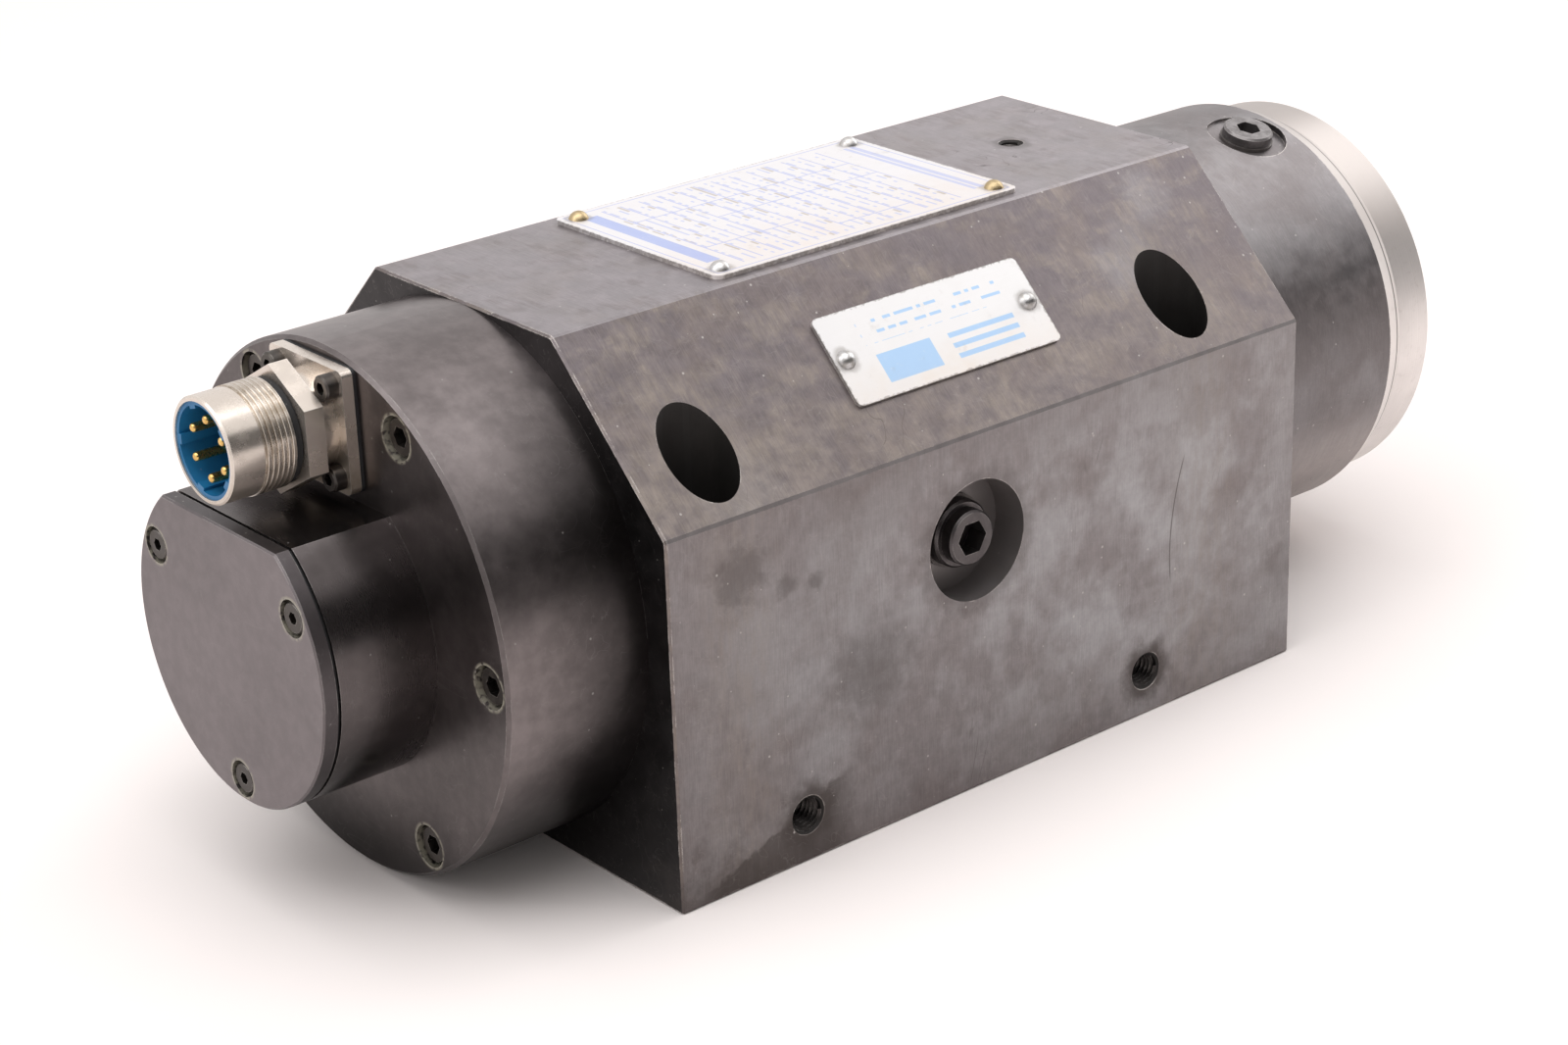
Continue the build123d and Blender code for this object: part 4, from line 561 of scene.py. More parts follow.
def side_colour(s, settings, patch, x, z, forward):
    """Oxide gathers towards the rims of the side faces and haze lies in the middle; weighting the haze
    towards the nose and the oxide towards the rear is painted light, lighter towards the nose.
    """
    rim = s.least(z, s.minus(SIDE_TOP + RIM_MARGIN, z), s.minus(BLOCK_HALF + RIM_MARGIN, s.size(x)))
    rimmed = s.ramp(s.minus(rim, s.times(patch.broad, 18.0)), 9.0, -12.0)
    # painted light: haze weighted towards the nose and rim oxide towards the rear make the sides lighter
    # towards the nose
    colour = s.mix(s.times(patch.broad, s.blend(forward, 0.45, 1.0)), settings.side, settings.haze)
    colour = s.mix(s.times(patch.drift, 0.34), colour, settings.stain)
    colour = s.mix(s.times(rimmed, s.blend(forward, 0.65, 0.35)), colour, settings.stain)
    wisps = s.add(s.times(patch.swirl, patch.smear, 0.18), s.times(patch.fleck, 0.08))
    return s.mix(wisps, colour, settings.haze)


def slope_colour(s, settings, patch, place, z, forward):
    """Rubbed tan patches on the slopes, most of them low down, with pale smears by the holes."""
    flecks = s.times(
        s.blend(patch.fleck, 0.3, 1.0), s.blend(patch.brushed, 0.4, 1.0), s.blend(forward, 0.40, 0.16)
    )
    rubbed = s.add(s.times(patch.swirl, s.blend(patch.smear, 0.20, 0.60)), flecks)
    colour = s.mix(rubbed, settings.chamfer, settings.tan)
    patches = s.blend(s.most(patch.mottle, patch.fleck), 0.15, 0.65)
    low = s.times(s.ramp(z, 110.0, 86.0), patches, s.blend(forward, 1.0, 0.5))
    colour = s.mix(low, colour, settings.tan)
    colour = s.mix(s.times(patch.drift, 0.45), colour, settings.stain)
    return s.mix(smudges(s, place, PALE_SMEARS, 1.5, 2.0), colour, settings.haze)


def top_colour(s, settings, patch):
    colour = s.mix(s.times(patch.drift, 0.20), settings.top, settings.tan)
    return s.mix(s.times(patch.swirl, patch.smear, 0.35), colour, settings.stain)


def nose_colour(s, settings, patch, nz):
    """The nose is palest underneath: a painted reflection of the bright floor."""
    colour = s.mix(s.times(patch.broad, 0.30), settings.nose, settings.stain)
    colour = s.mix(s.times(patch.drift, 0.20), colour, settings.haze)
    # painted reflection: paler where the nose faces down to the floor
    return s.mix(s.ramp(nz, -0.15, -0.55, 0.0, 0.80), colour, (0.42, 0.38, 0.37))


def hole_distances(s, x, y, z):
    """Distance from the axis of each kind of hole in its own plane. Mirrored holes are folded together."""

    def distance(first, second, beyond=0.0):
        return s.math("SQRT", s.add(s.times(first, first), s.times(second, second), beyond))

    low_down = s.times(s.below(z, 90.0), 400.0)
    return SimpleNamespace(
        clamp=distance(s.minus(s.apart(x, CLAMP_MIDDLE_X), CLAMP_HALF_X), s.minus(s.size(y), CLAMP_Y)),
        port=distance(s.minus(x, PORT_X), s.minus(z, PORT_Z)),
        tapped=distance(s.minus(s.apart(x, TAPPED_MIDDLE_X), TAPPED_HALF_X), s.minus(z, TAPPED_Z)),
        lifting=distance(s.minus(x, LIFTING_X), y, low_down),
    )


def block_finish(settings):
    """Blackened steel of the clamping block, face by face."""
    material, s, part = new_finish("blackened_steel")
    place = part["Place"]
    x, y, z = s.parts(place)
    nx, ny, nz = s.parts(part["Normal"])
    side = s.ramp(s.size(ny), *FACING)
    top = s.ramp(nz, *FACING)
    end = s.ramp(s.size(nx), *FACING)
    nose = s.math("GREATER_THAN", part["Along"], block_high.x / MM - NOSE_LENGTH)
    forward = s.ramp(x, -95.0, 85.0)
    patch = block_patches(s, place, x, y, z)
    flank = side_colour(s, settings, patch, x, z, forward)
    base = s.mix(side, slope_colour(s, settings, patch, place, z, forward), flank)
    base = s.mix(top, base, top_colour(s, settings, patch))
    base = s.mix(nose, base, nose_colour(s, settings, patch, nz))
    # painted shade: the end face around the rear housing takes the near-black End colour
    base = s.mix(end, base, settings.end)
    grain = s.add(s.times(patch.mottle, 0.17), s.times(patch.brushed, 0.15), s.times(patch.speckle, 0.05))
    # painted light: the block grows lighter towards the nose and upwards; the grain is the steel's own mottle
    # and brushing
    base = s.dim(base, s.add(s.blend(forward, 0.67, 0.79), s.ramp(z, 8.0, 84.0, 0.0, 0.15), grain))

    # holes: walls painted near black as shade, and darker rings of oil round their mouths
    hole = hole_distances(s, x, y, z)
    deep = s.times(s.below(s.size(y), RECESS_FLOOR_Y), 99.0)
    inside = s.most(
        s.below(hole.clamp, CLAMP_RADIUS), s.below(hole.tapped, TAPPED_RADIUS),
        s.below(hole.lifting, LIFTING_RADIUS),
    )
    recess = s.below(s.add(hole.port, deep), RECESS_RADIUS)
    strokes = s.times(s.blend(patch.smear, 0.25, 0.9), s.blend(patch.brushed, 0.5, 1.0), 0.62)
    base = s.mix(s.times(s.ramp(hole.clamp, 19.0, 8.6), strokes), base, settings.tan)
    rag = s.times(s.minus(patch.mottle, 0.5), 1.6)
    oil = s.most(
        s.times(s.ramp(s.add(hole.tapped, rag), 9.5, 4.4), side, 0.85),
        s.times(s.ramp(s.add(hole.port, rag), 19.0, 13.6), side, 0.38),
        s.times(s.ramp(s.add(hole.lifting, rag), 6.0, 2.4), top, 0.6),
        smudges(s, place, OIL_SMUDGES, 1.6, 1.0),
    )
    base = s.mix(oil, base, settings.oil)

    # oil that has run from the rear tapped holes down to the base
    run_line = s.add(s.times(s.add(x, 80.0), 0.40), 5.0, rag)
    run = s.times(s.ramp(s.minus(z, run_line), 0.9, -0.4), s.band(x, -92.0, -82.0, -53.0, -44.0), side)
    base = s.mix(s.times(run, 0.70), base, settings.oil)

    # scratches, one of them long and bowed, dust and worn edges
    bow = s.add(52.0, s.times(0.008, s.math("POWER", s.minus(z, 38.0), 2.0)))
    reach = s.times(s.band(z, 30.0, 34.0, 59.0, 63.0), s.below(y, 0.0), side)
    hook = s.times(s.ramp(s.apart(x, bow), 0.30, 0.06), reach)
    dark_marks = s.most(s.scratches(place, (0, 72, 0), 9.0, 16.0, 0.005, 0.26), hook)
    pale_marks = s.most(
        s.scratches(place, (0, -52, 20), 2.6, 9.0, 0.012, 0.6),
        s.scratches(s.moved(place, (31.0, 17.0, 5.0)), (25, 18, -30), 2.2, 8.0, 0.012, 0.6),
    )
    base = s.mix(s.times(dark_marks, 0.65), base, settings.oil)
    base = s.mix(s.times(pale_marks, 0.10), base, (0.50, 0.47, 0.45))
    specks = s.dust(place, 3.0, 0.14)
    base = s.mix(s.times(specks, 0.50), base, (0.62, 0.59, 0.56))
    worn = s.times(s.worn_edge(place, 0.40, 7.0, settings.wear), s.minus(1.0, s.times(inside, 0.8)))

    # the narrow facets along the slope are dull, so they mirror little of the room
    low_facet = s.band(s.size(ny), 0.86, 0.90, 0.95, 0.975)
    high_facet = s.band(nz, 0.86, 0.90, 0.95, 0.975)
    facet = s.times(s.most(low_facet, s.times(high_facet, 0.5)), s.minus(1.0, nose))
    base = s.mix(s.times(facet, 0.5), base, (0.20, 0.185, 0.185))
    base = s.mix(worn, base, settings.bare)
    # painted shade: the walls inside the holes are near black
    base = s.mix(s.times(inside, 0.95), base, (0.013, 0.011, 0.010))
    base = s.mix(s.times(recess, 0.85), base, settings.recess)
    uneven = s.add(s.times(patch.mottle, 0.10), s.times(patch.broad, 0.07), s.times(nose, 0.07))
    rough = s.add(0.33, uneven, s.times(oil, -0.08), s.times(inside, 0.25))
    height = s.add(s.times(patch.brushed, 0.5), s.times(patch.speckle, 0.5), s.times(dark_marks, -0.9))
    dull = s.most(
        s.times(specks, 0.6), s.times(worn, 0.45), s.times(facet, 0.8), s.times(inside, 0.7),
        s.times(recess, 0.45),
    )
    close_finish(s, base, rough, s.blend(dull, BLACKENED, 0.2), height, depth=0.014, strength=0.45)
    dress(material, "housing_block")


def turned_black(
    name, base_colour, settings, glow, rough, screws=None, face=1.0, rim=1.0, edges=0.5, bevel=0.5
):
    """Black turned steel with lathe marks, rubbed edges and dust, and with residue round its screws.

    Glow is the lighter tone over the darker one, in random clouds whose lighter parts also paint soft
    highlights, and face, rim and bevel are the shares of painted light on the end faces, the round ones
    and the slanted ones. Screws holds their circle's radius, their number, the angle of the first and the
    radius of a pocket.
    """
    material, s, part = new_finish(name)
    place = part["Place"]
    nx, _, nz = s.parts(part["Normal"])
    slant = s.size(nx)
    broad = s.clouds(place, 22.0, 0.36, 0.64, 6.0)
    mottle = s.clouds(place, 3.5, 0.35, 0.68, 7.0)
    marks = s.turning(0.45, 0.8)
    lighter = tuple(min(1.0, value * glow + 0.004) for value in base_colour)
    # random tone in clouds, whose lighter parts also paint soft highlights
    base = s.mix(s.add(s.times(broad, 0.55), s.times(mottle, 0.35)), base_colour, lighter)
    # painted shade: darker by the block, underneath and near the floor
    joint = s.times(s.ramp(part["Along"], -126.0, -99.0), s.ramp(nz, 0.97, 0.60))
    underside = s.ramp(nz, -0.15, -0.70, 1.0, 0.50)
    shade = s.blend(s.ramp(slant, *FACING), s.times(rim, underside, s.blend(joint, 1.0, 0.30)), face)
    shade = s.blend(s.band(slant, 0.30, 0.55, 0.80, 0.92), shade, bevel)
    base = s.dim(base, s.times(shade, s.ramp(s.parts(place)[2], 24.0, 4.0, 1.0, 0.30)))
    scratched = s.most(
        s.scratches(place, (0, 0, 90), 5.0, 6.0, 0.008, 0.5),
        s.scratches(place, (40, 15, 70), 2.4, 8.0, 0.012, 0.5),
    )
    base = s.mix(s.times(scratched, 0.10), base, (0.34, 0.33, 0.32))
    specks = s.dust(place, 3.6, 0.12)
    base = s.mix(s.times(specks, 0.40), base, (0.40, 0.39, 0.37))
    dry = s.times(specks, 0.6)
    if screws:
        circle, count, first, pocket = screws
        gap = s.group("Screw Pockets", circle_radius=circle, count=count, first=first)[0]
        crust = s.ramp(s.clouds(place, 1.3, 0.30, 0.62), 0.0, 0.8)
        near = s.times(s.ramp(gap, pocket + 0.9, pocket + 0.15), crust)
        base = s.mix(s.times(near, 0.75), base, settings.residue)
        dry = s.most(dry, s.times(near, 0.8))
    base = s.mix(s.times(s.worn_edge(place, 0.28, 7.0, edges), 0.6), base, settings.bare)
    height = s.add(s.times(marks, 0.8), s.times(mottle, 0.3))
    roughness = s.add(rough, s.times(broad, 0.08), s.times(marks, 0.06))
    close_finish(s, base, roughness, s.blend(dry, BLACKENED, 0.1), height, depth=0.010, strength=0.35)
    return material


def band_finish(settings):
    """Bright ground steel of the front cover and the labyrinth ring."""
    material, s, part = new_finish("ground_steel")
    place = part["Place"]
    broad = s.clouds(place, 24.0, 0.34, 0.70)
    mottle = s.clouds(place, 1.6, 0.55, 0.75)
    marks = s.turning(settings.pitch / MM, 0.02)
    base = s.mix(s.times(broad, 0.35), settings.steel, settings.shadow)
    base = s.mix(s.times(s.ramp(marks, 0.35, 0.65), 0.16), base, (0.45, 0.42, 0.40))
    base = s.mix(s.times(mottle, 0.14), base, (0.34, 0.29, 0.25))
    nicks = s.scratches(place, (0, 90, 0), 3.0, 7.0, 0.004, 0.2)
    base = s.mix(s.times(nicks, 0.35), base, (0.20, 0.18, 0.17))
    # painted shade: the upper half is darker and warmer, and dirt lies in the joint between the two bands
    upper = s.ramp(s.parts(part["Normal"])[2], 0.30, 0.62)
    base = s.mix(s.times(upper, s.blend(broad, 0.92, 0.80)), base, settings.top_shade)
    joint = s.ramp(s.apart(part["Along"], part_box("labyrinth_ring")[0].x / MM), 0.42, 0.22)
    base = s.mix(s.times(joint, 0.85), base, (0.06, 0.05, 0.045))
    rough = s.add(0.36, s.times(broad, 0.06), s.times(marks, 0.10))
    close_finish(s, base, rough, s.blend(joint, 0.90, 0.4), marks, depth=0.004, strength=0.5)
    dress(material, "front_cover", "labyrinth_ring")


def plain_metal(name, colours, rough, metallic, size, pitch=None, marks=0.2, bare=None, depth=0.008):
    """Small machined metal pieces, lighter and duller in clouds of this size.

    Pitch is the distance between turning marks, marks the strength of the fine grain, and bare the
    colour where an edge has worn through.
    """
    material, s, part = new_finish(name)
    place = part["Place"]
    light, dull = colours
    cloud = s.clouds(place, size, 0.32, 0.68, 5.0)
    fine = s.clouds(place, size * 0.12, 0.3, 0.7, 3.0)
    base = s.mix(s.times(cloud, 0.7), light, dull)
    base = s.mix(s.times(fine, marks), base, dull)
    height = s.times(fine, 0.4)
    if pitch:
        height = s.add(height, s.turning(pitch, 0.05))
    if bare:
        worn = s.worn_edge(place, 0.22, 3.0, 0.7)
        base = s.mix(s.times(worn, 0.75), base, bare)
        metallic = s.blend(worn, metallic, 0.95)
    close_finish(s, base, s.add(rough, s.times(cloud, 0.14)), metallic, height, depth=depth, strength=0.6)
    return material


def plate_ink(s, flat, marks, dashes):
    """The masks of the plain bars and rows of dashes, each under the name of its colour."""
    ink = {}
    for tone, low, high in marks:
        ink.setdefault(tone, []).append(s.bar(flat, low, high))
    u, v, _ = s.parts(flat)
    turned = {"v": flat, "u": s.join(v, u, 0.0)}
    for tone, low, high, along, pitch, dash, half_width, cover, seed in dashes:
        values = {"row_pitch": pitch, "dash": dash, "half_width": half_width, "cover": cover, "seed": seed}
        line = s.group("Dash Rows", place=turned[along], **values)[0]
        ink.setdefault(tone, []).append(s.times(line, s.bar(flat, low, high)))
    return {tone: s.most(*masks) for tone, masks in ink.items()}


def plate_print(name, settings, silver, face, marks, dashes, rivets, metallic, columns=None):
    """Silver plate with plain ruled lines, bars and dashes.

    Face gives its middle, its own plane and half sizes. Columns gives the first and last of the
    lines across, their half length and their step.
    """
    material, s, part = new_finish(name)
    origin, run, rise, half_u, half_v = face
    place = part["Place"]
    rel = s.vector("SUBTRACT", place, origin)
    u = s.vector("DOT_PRODUCT", rel, run, output=1)
    v = s.vector("DOT_PRODUCT", rel, rise, output=1)
    flat = s.join(u, v, 0.0)
    cloud = s.clouds(place, 9.0, 0.35, 0.75)
    brushed = s.clouds(flat, 0.35, 0.2, 0.8, 2.0, (0.04, 1.0, 1.0))
    base = s.mix(s.times(cloud, 0.22), silver, (0.68, 0.66, 0.64))
    base = s.mix(s.times(brushed, 0.10), base, (0.82, 0.83, 0.85))
    warm = tuple(value * share for value, share in zip(silver, (0.97, 0.90, 0.83)))
    base = s.mix(s.times(s.ramp(v, 0.1 * half_v, -half_v), s.blend(cloud, 0.4, 0.9)), base, warm)
    ink = plate_ink(s, flat, marks, dashes)
    if columns:
        start, stop, reach, step = columns
        field = s.bar(flat, (start - 0.2, -reach), (stop + 0.2, reach))
        line = s.apart(s.math("FLOORED_MODULO", s.minus(u, start - step / 2), step), step / 2)
        ink["ruling"] = s.most(ink["ruling"], s.times(s.ramp(line, 0.26, 0.14), field))
    worn_ink = s.clouds(flat, 1.4, 0.18, 0.42)
    for tone, mask in ink.items():
        strength = s.blend(worn_ink, 0.6, 1.0)
        base = s.mix(s.times(mask, strength, INK_STRENGTH[tone]), base, getattr(settings, tone))
    dirt = s.most(0.0, *(s.halo(flat, (*rivet, 0.0), 2.4, 1.4, 1.2) for rivet in rivets))
    base = s.mix(s.times(dirt, 0.4), base, (0.16, 0.13, 0.10))
    smudge = s.clouds(place, 4.0, 0.60, 0.74, 6.0)
    base = s.mix(s.times(smudge, 0.18), base, (0.30, 0.25, 0.20))
    # brown dirt along the rim and on the cut edges
    inward = s.least(s.minus(half_u, s.size(u)), s.minus(half_v, s.size(v)))
    crumbs = s.clouds(place, 1.1, 0.30, 0.62)
    grime = s.times(s.ramp(s.add(inward, s.times(crumbs, 0.5)), 0.75, 0.2), s.blend(crumbs, 0.55, 1.0))
    base = s.mix(s.times(grime, 0.85), base, (0.10, 0.075, 0.055))
    rough = s.add(0.34, s.times(cloud, 0.16))
    close_finish(s, base, rough, metallic, s.add(brushed, s.times(smudge, 0.5)), depth=0.006, strength=0.5)
    return material


def moulded(name, colours, rough):
    """Moulded plastic or rubber with a faint orange-peel skin and dust."""
    material, s, part = new_finish(name)
    place = part["Place"]
    light, dull = colours
    cloud = s.clouds(place, 6.0, 0.3, 0.7)
    skin = s.clouds(place, 0.4, 0.25, 0.75, 3.0)
    base = s.mix(s.times(cloud, 0.6), light, dull)
    base = s.mix(s.times(s.dust(place, 1.6, 0.18), 0.3), base, (0.30, 0.29, 0.28))
    rough = s.add(rough, s.times(cloud, 0.12))
    close_finish(s, base, rough, 0.0, skin, depth=0.02, strength=0.5, Specular_IOR_Level=0.4)
    return material


def stacked(name, colours, rough, metallic, step=None, around=None):
    """Sheets stacked along the axis by this step, or this many wires for each radian round it."""
    material, s, part = new_finish(name)
    light, dull = colours
    count = s.times(part["Around"], around) if around else s.over(part["Along"], step)
    wave = s.size(s.math("SINE", s.times(count, pi)))
    cloud = s.clouds(part["Place"], 6.0, 0.3, 0.7)
    base = s.mix(s.times(cloud, 0.5), light, dull)
    # darker along the seams: dark joints between the sheets, and painted shade in the creases between the
    # wires
    base = s.mix(s.times(s.ramp(wave, 0.45, 0.05), 0.6), base, dull)
    close_finish(s, base, s.add(rough, s.times(cloud, 0.12)), metallic, wave, depth=0.12, strength=0.6)
    return material


# Modelled pieces


def thread_turns(name, radius, pitch, turns, material):
    """The turns of an internal thread: a three-sided ridge wound up the wall of its hole."""
    bpy.ops.object.select_all(action="DESELECT")
    bpy.ops.mesh.primitive_circle_add(vertices=3, radius=0.42 * pitch, fill_type="NGON", location=(0, 0, 0))
    ridge = bpy.context.active_object
    ridge.name = ridge.data.name = name
    root, crest, half_root = radius + 0.03 * MM, radius - 0.57 * pitch, 0.46 * pitch
    for vertex, (out, up) in zip(ridge.data.vertices, ((root, half_root), (crest, 0.0), (root, -half_root))):
        vertex.co = (out, 0.0, up)
    bpy.ops.object.mode_set(mode="EDIT")
    bpy.ops.mesh.select_all(action="SELECT")
    bpy.ops.mesh.bevel(offset=0.07 * pitch, affect="VERTICES", segments=1)
    bpy.ops.object.mode_set(mode="OBJECT")
    wind = ridge.modifiers.new("Turns", "SCREW")
    wind.axis = "Z"
    wind.angle = 2 * pi
    wind.screw_offset = pitch
    wind.iterations = turns
    wind.steps = wind.render_steps = 28
    bpy.ops.object.modifier_apply(modifier=wind.name)
    bpy.ops.object.mode_set(mode="EDIT")
    bpy.ops.mesh.select_all(action="SELECT")
    bpy.ops.mesh.remove_doubles(threshold=1e-6)
    bpy.ops.mesh.normals_make_consistent(inside=False)
    bpy.ops.object.mode_set(mode="OBJECT")
    bpy.ops.object.shade_smooth_by_angle(angle=radians(25))
    ridge.data.materials.append(material)
    return ridge


def copy_piece(piece, name):
    """A copy with its own mesh."""
    twin = piece.copy()
    twin.data = piece.data.copy()
    twin.name = twin.data.name = name
    bpy.context.scene.collection.objects.link(twin)
    return twin


def stage_plane(name, size, material):
    """A square plane of the studio."""
    bpy.ops.object.select_all(action="DESELECT")
    bpy.ops.mesh.primitive_plane_add(size=size, location=(0, 0, 0))
    plane = bpy.context.active_object
    plane.name = plane.data.name = name
    plane.data.materials.append(material)
    return plane


# Operators


class FinishBlock(bpy.types.Operator):
    """Blackened steel on the clamping block"""

    bl_idname = "spindle.finish_block"
    bl_label = "Clamping Block"

    def execute(self, context):
        block_finish(context.scene.spindle.block)
        return {"FINISHED"}


class FinishHousings(bpy.types.Operator):
    """Black rear housing, encoder housing, lid and their gaskets"""

    bl_idname = "spindle.finish_housings"
    bl_label = "Rear Housings"

    def execute(self, context):
        settings = context.scene.spindle.housing
        rear = turned_black(
            "rear_housing_black", settings.housing, settings, glow=1.6, rough=0.27,
            screws=(53.2, 6, 0.0, 4.8), face=0.5, rim=0.86, edges=0.40, bevel=0.60,
        )
        dress(rear, "rear_housing")
        # partly the drum's own finish and partly painted shade: the encoder housing takes the housing colour
        # at half brightness
        darker = tuple(value * 0.5 for value in settings.housing)
        # painted highlight: the drum's rubbed edges are raised so they also paint a bright line along the
        # edge of its flat
        drum = turned_black("encoder_housing_black", darker, settings, glow=1.4, rough=0.18, edges=0.9)
        dress(drum, "encoder_housing")
        lid = turned_black(
            "lid_grey", settings.lid, settings, glow=1.35, rough=0.34,
            screws=(30.2, 3, radians(30), 4.1), rim=0.50, edges=0.60, bevel=0.78,
        )
        dress(lid, "encoder_lid")
        dusty = tuple(value * 1.6 for value in settings.rubber)
        rubber = moulded("seal_rubber", (settings.rubber, dusty), 0.55)
        dress(rubber, "lid_gasket", "connector_gasket", "connector_seal", "jacket_seals")
        return {"FINISHED"}


class FinishBands(bpy.types.Operator):
    """Ground steel on the front cover and the labyrinth ring"""

    bl_idname = "spindle.finish_bands"
    bl_label = "Front Bands"

    def execute(self, context):
        band_finish(context.scene.spindle.band)
        return {"FINISHED"}


class FinishFasteners(bpy.types.Operator):
    """Screws, blanking plugs and their washers"""

    bl_idname = "spindle.finish_fasteners"
    bl_label = "Screws and Plugs"

    def execute(self, context):
        settings = context.scene.spindle.fastener
        black = plain_metal(
            "black_screws", (settings.black, (0.09, 0.08, 0.07)), 0.30, 0.95, 2.5,
            pitch=0.3, marks=0.3, bare=(0.50, 0.48, 0.45), depth=0.02,
        )
        dress(black, "rear_housing_screws", "encoder_lid_screws", "connector_screws")
        bright = plain_metal(
            "bright_screws", (settings.bright, (0.26, 0.24, 0.21)), 0.28, 0.9, 2.5, pitch=0.3, marks=0.3
        )
        dress(bright, "front_cover_screws", "labyrinth_screws", "encoder_housing_screws")
        dress(bright, "wheel_screw", "wheel_washer")
        plug = plain_metal(
            "plug_steel", (settings.plug, (0.09, 0.08, 0.082)), 0.30, 0.95, 3.0,
            pitch=0.35, marks=0.4, bare=(0.50, 0.48, 0.46), depth=0.02,
        )
        dress(plug, "port_plugs")
        # the nose port's plug is a lighter copy of the plug finish
        lighter_nose_plug = plain_metal(
            "worn_plug_steel", ((0.27, 0.255, 0.255), (0.12, 0.11, 0.11)), 0.34, 0.95, 2.0,
            pitch=0.35, marks=0.4, bare=(0.60, 0.57, 0.55), depth=0.02,
        )
        dress(lighter_nose_plug, "nose_port_plug")
        washer = plain_metal("port_washer", (settings.washer, (0.09, 0.08, 0.076)), 0.40, 0.6, 2.0, marks=0.5)
        dress(washer, "port_seals", "nose_port_seal")
        return {"FINISHED"}


class FinishPlates(bpy.types.Operator):
    """Silver plates with plain lines and bars, and their rivets"""

    bl_idname = "spindle.finish_plates"
    bl_label = "Plates and Rivets"

    def rating_plate(self, settings):
        low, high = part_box("rating_plate")
        middle = (low + high) / 2 / MM
        half_u, half_v = (high.x - low.x) / 2 / MM, (high.y - low.y) / 2 / MM
        row = settings.row / MM
        first = -half_u + 10.8
        count = int((2 * half_u - 20.5) / row)
        last = first + count * row
        frame_u, frame_v, thin = half_u - 1.6, half_v - 1.55, 0.35
        marks = [
            ("ruling", (-frame_u, frame_v - thin), (frame_u, frame_v)),
            ("ruling", (-frame_u, -frame_v), (frame_u, thin - frame_v)),
            ("ruling", (-frame_u, -half_v + 1.6), (thin - frame_u, half_v - 1.6)),
            ("ruling", (frame_u - thin, -half_v + 1.6), (frame_u, half_v - 1.6)),
            ("bar", (-half_u + 4.6, -half_v + 9.0), (-half_u + 8.4, half_v - 5.5)),
            ("words", (half_u - 8.2, -half_v + 6.5), (half_u - 7.0, half_v - 6.5)),
            ("words", (half_u - 6.4, -half_v + 6.5), (half_u - 4.8, half_v - 6.5)),
        ]
        for at, start, stop in ((-12.0, 0, 5), (3.0, 3, count), (13.0, 0, count), (-20.0, 6, 10)):
            marks.append(("ruling", (first + start * row, at), (first + min(stop, count) * row, at + 0.4)))
        low_corner, high_corner = (first, -half_v + 4.0), (last, half_v - 4.0)
        dashes = [
            ("words", low_corner, high_corner, "v", row / 2, 1.2, 0.30, 0.46, 1.0),
            ("field", low_corner, high_corner, "v", row, 2.6, 0.36, 0.17, 5.0),
            ("field", (-half_u + 9.0, -8.0), (first + 0.6, 16.0), "v", 1.3, 1.4, 0.26, 0.5, 2.0),
        ]
        rivets = [(u, v) for u in (-40.3, 40.3) for v in (-25.0, 25.0)]
        face = (middle, (1.0, 0.0, 0.0), (0.0, 1.0, 0.0), half_u, half_v)
        columns = (first, last, half_v - 4.0, row)
        material = plate_print(
            "rating_plate_silver", settings, settings.silver, face, marks, dashes, rivets, 0.25, columns
        )
        dress(material, "rating_plate")

    def name_plate(self, settings):
        low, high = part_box("name_plate")
        middle = (low + high) / 2 / MM
        slope = 0.5 ** 0.5
        half_u = (high.x - low.x) / 2 / MM
        half_v = (high.z - low.z) * slope / MM - 0.4
        marks = [("block", (-19.0, -8.0), (-3.5, -1.0))]
        for bottom, top in ((-2.6, -1.4), (-5.2, -4.0), (-7.8, -6.6)):
            marks.append(("block", (1.5, bottom), (21.0, top)))
        dashes = [("block", (-20.0, 1.6), (21.0, 8.6), "u", 2.7, 1.1, 0.36, 0.55, 3.0)]
        rivets = [(-26.8, 0.0), (26.8, 0.0)]
        face = (middle, (1.0, 0.0, 0.0), (0.0, slope, slope), half_u, half_v)
        material = plate_print(
            "name_plate_silver", settings, settings.small_silver, face, marks, dashes, rivets, 0.60
        )
        dress(material, "name_plate")

    def rivets(self, settings):
        silver = plain_metal(
            "rivet_silver", ((0.62, 0.62, 0.63), (0.30, 0.28, 0.25)), 0.26, 0.92, 1.5, marks=0.3
        )
        dress(silver, "name_plate_rivets")
        # two rivets in opposite corners of the rating plate are tarnished
        material, s, part = new_finish("rivet_mixed")
        x, y, _ = s.parts(part["Place"])
        tarnish = s.below(s.times(s.add(x, 3.4), y), 0.0)
        cloud = s.clouds(part["Place"], 1.4, 0.3, 0.7)
        base = s.mix(s.times(tarnish, 0.85), (0.60, 0.60, 0.61), settings.brass)
        base = s.mix(s.times(cloud, 0.4), base, (0.26, 0.21, 0.14))
        close_finish(s, base, s.add(0.26, s.times(cloud, 0.2)), 0.92, cloud, depth=0.01)
        dress(material, "rating_plate_rivets")

    def execute(self, context):
        settings = context.scene.spindle.plate
        self.rating_plate(settings)
        self.name_plate(settings)
        self.rivets(settings)
        return {"FINISHED"}


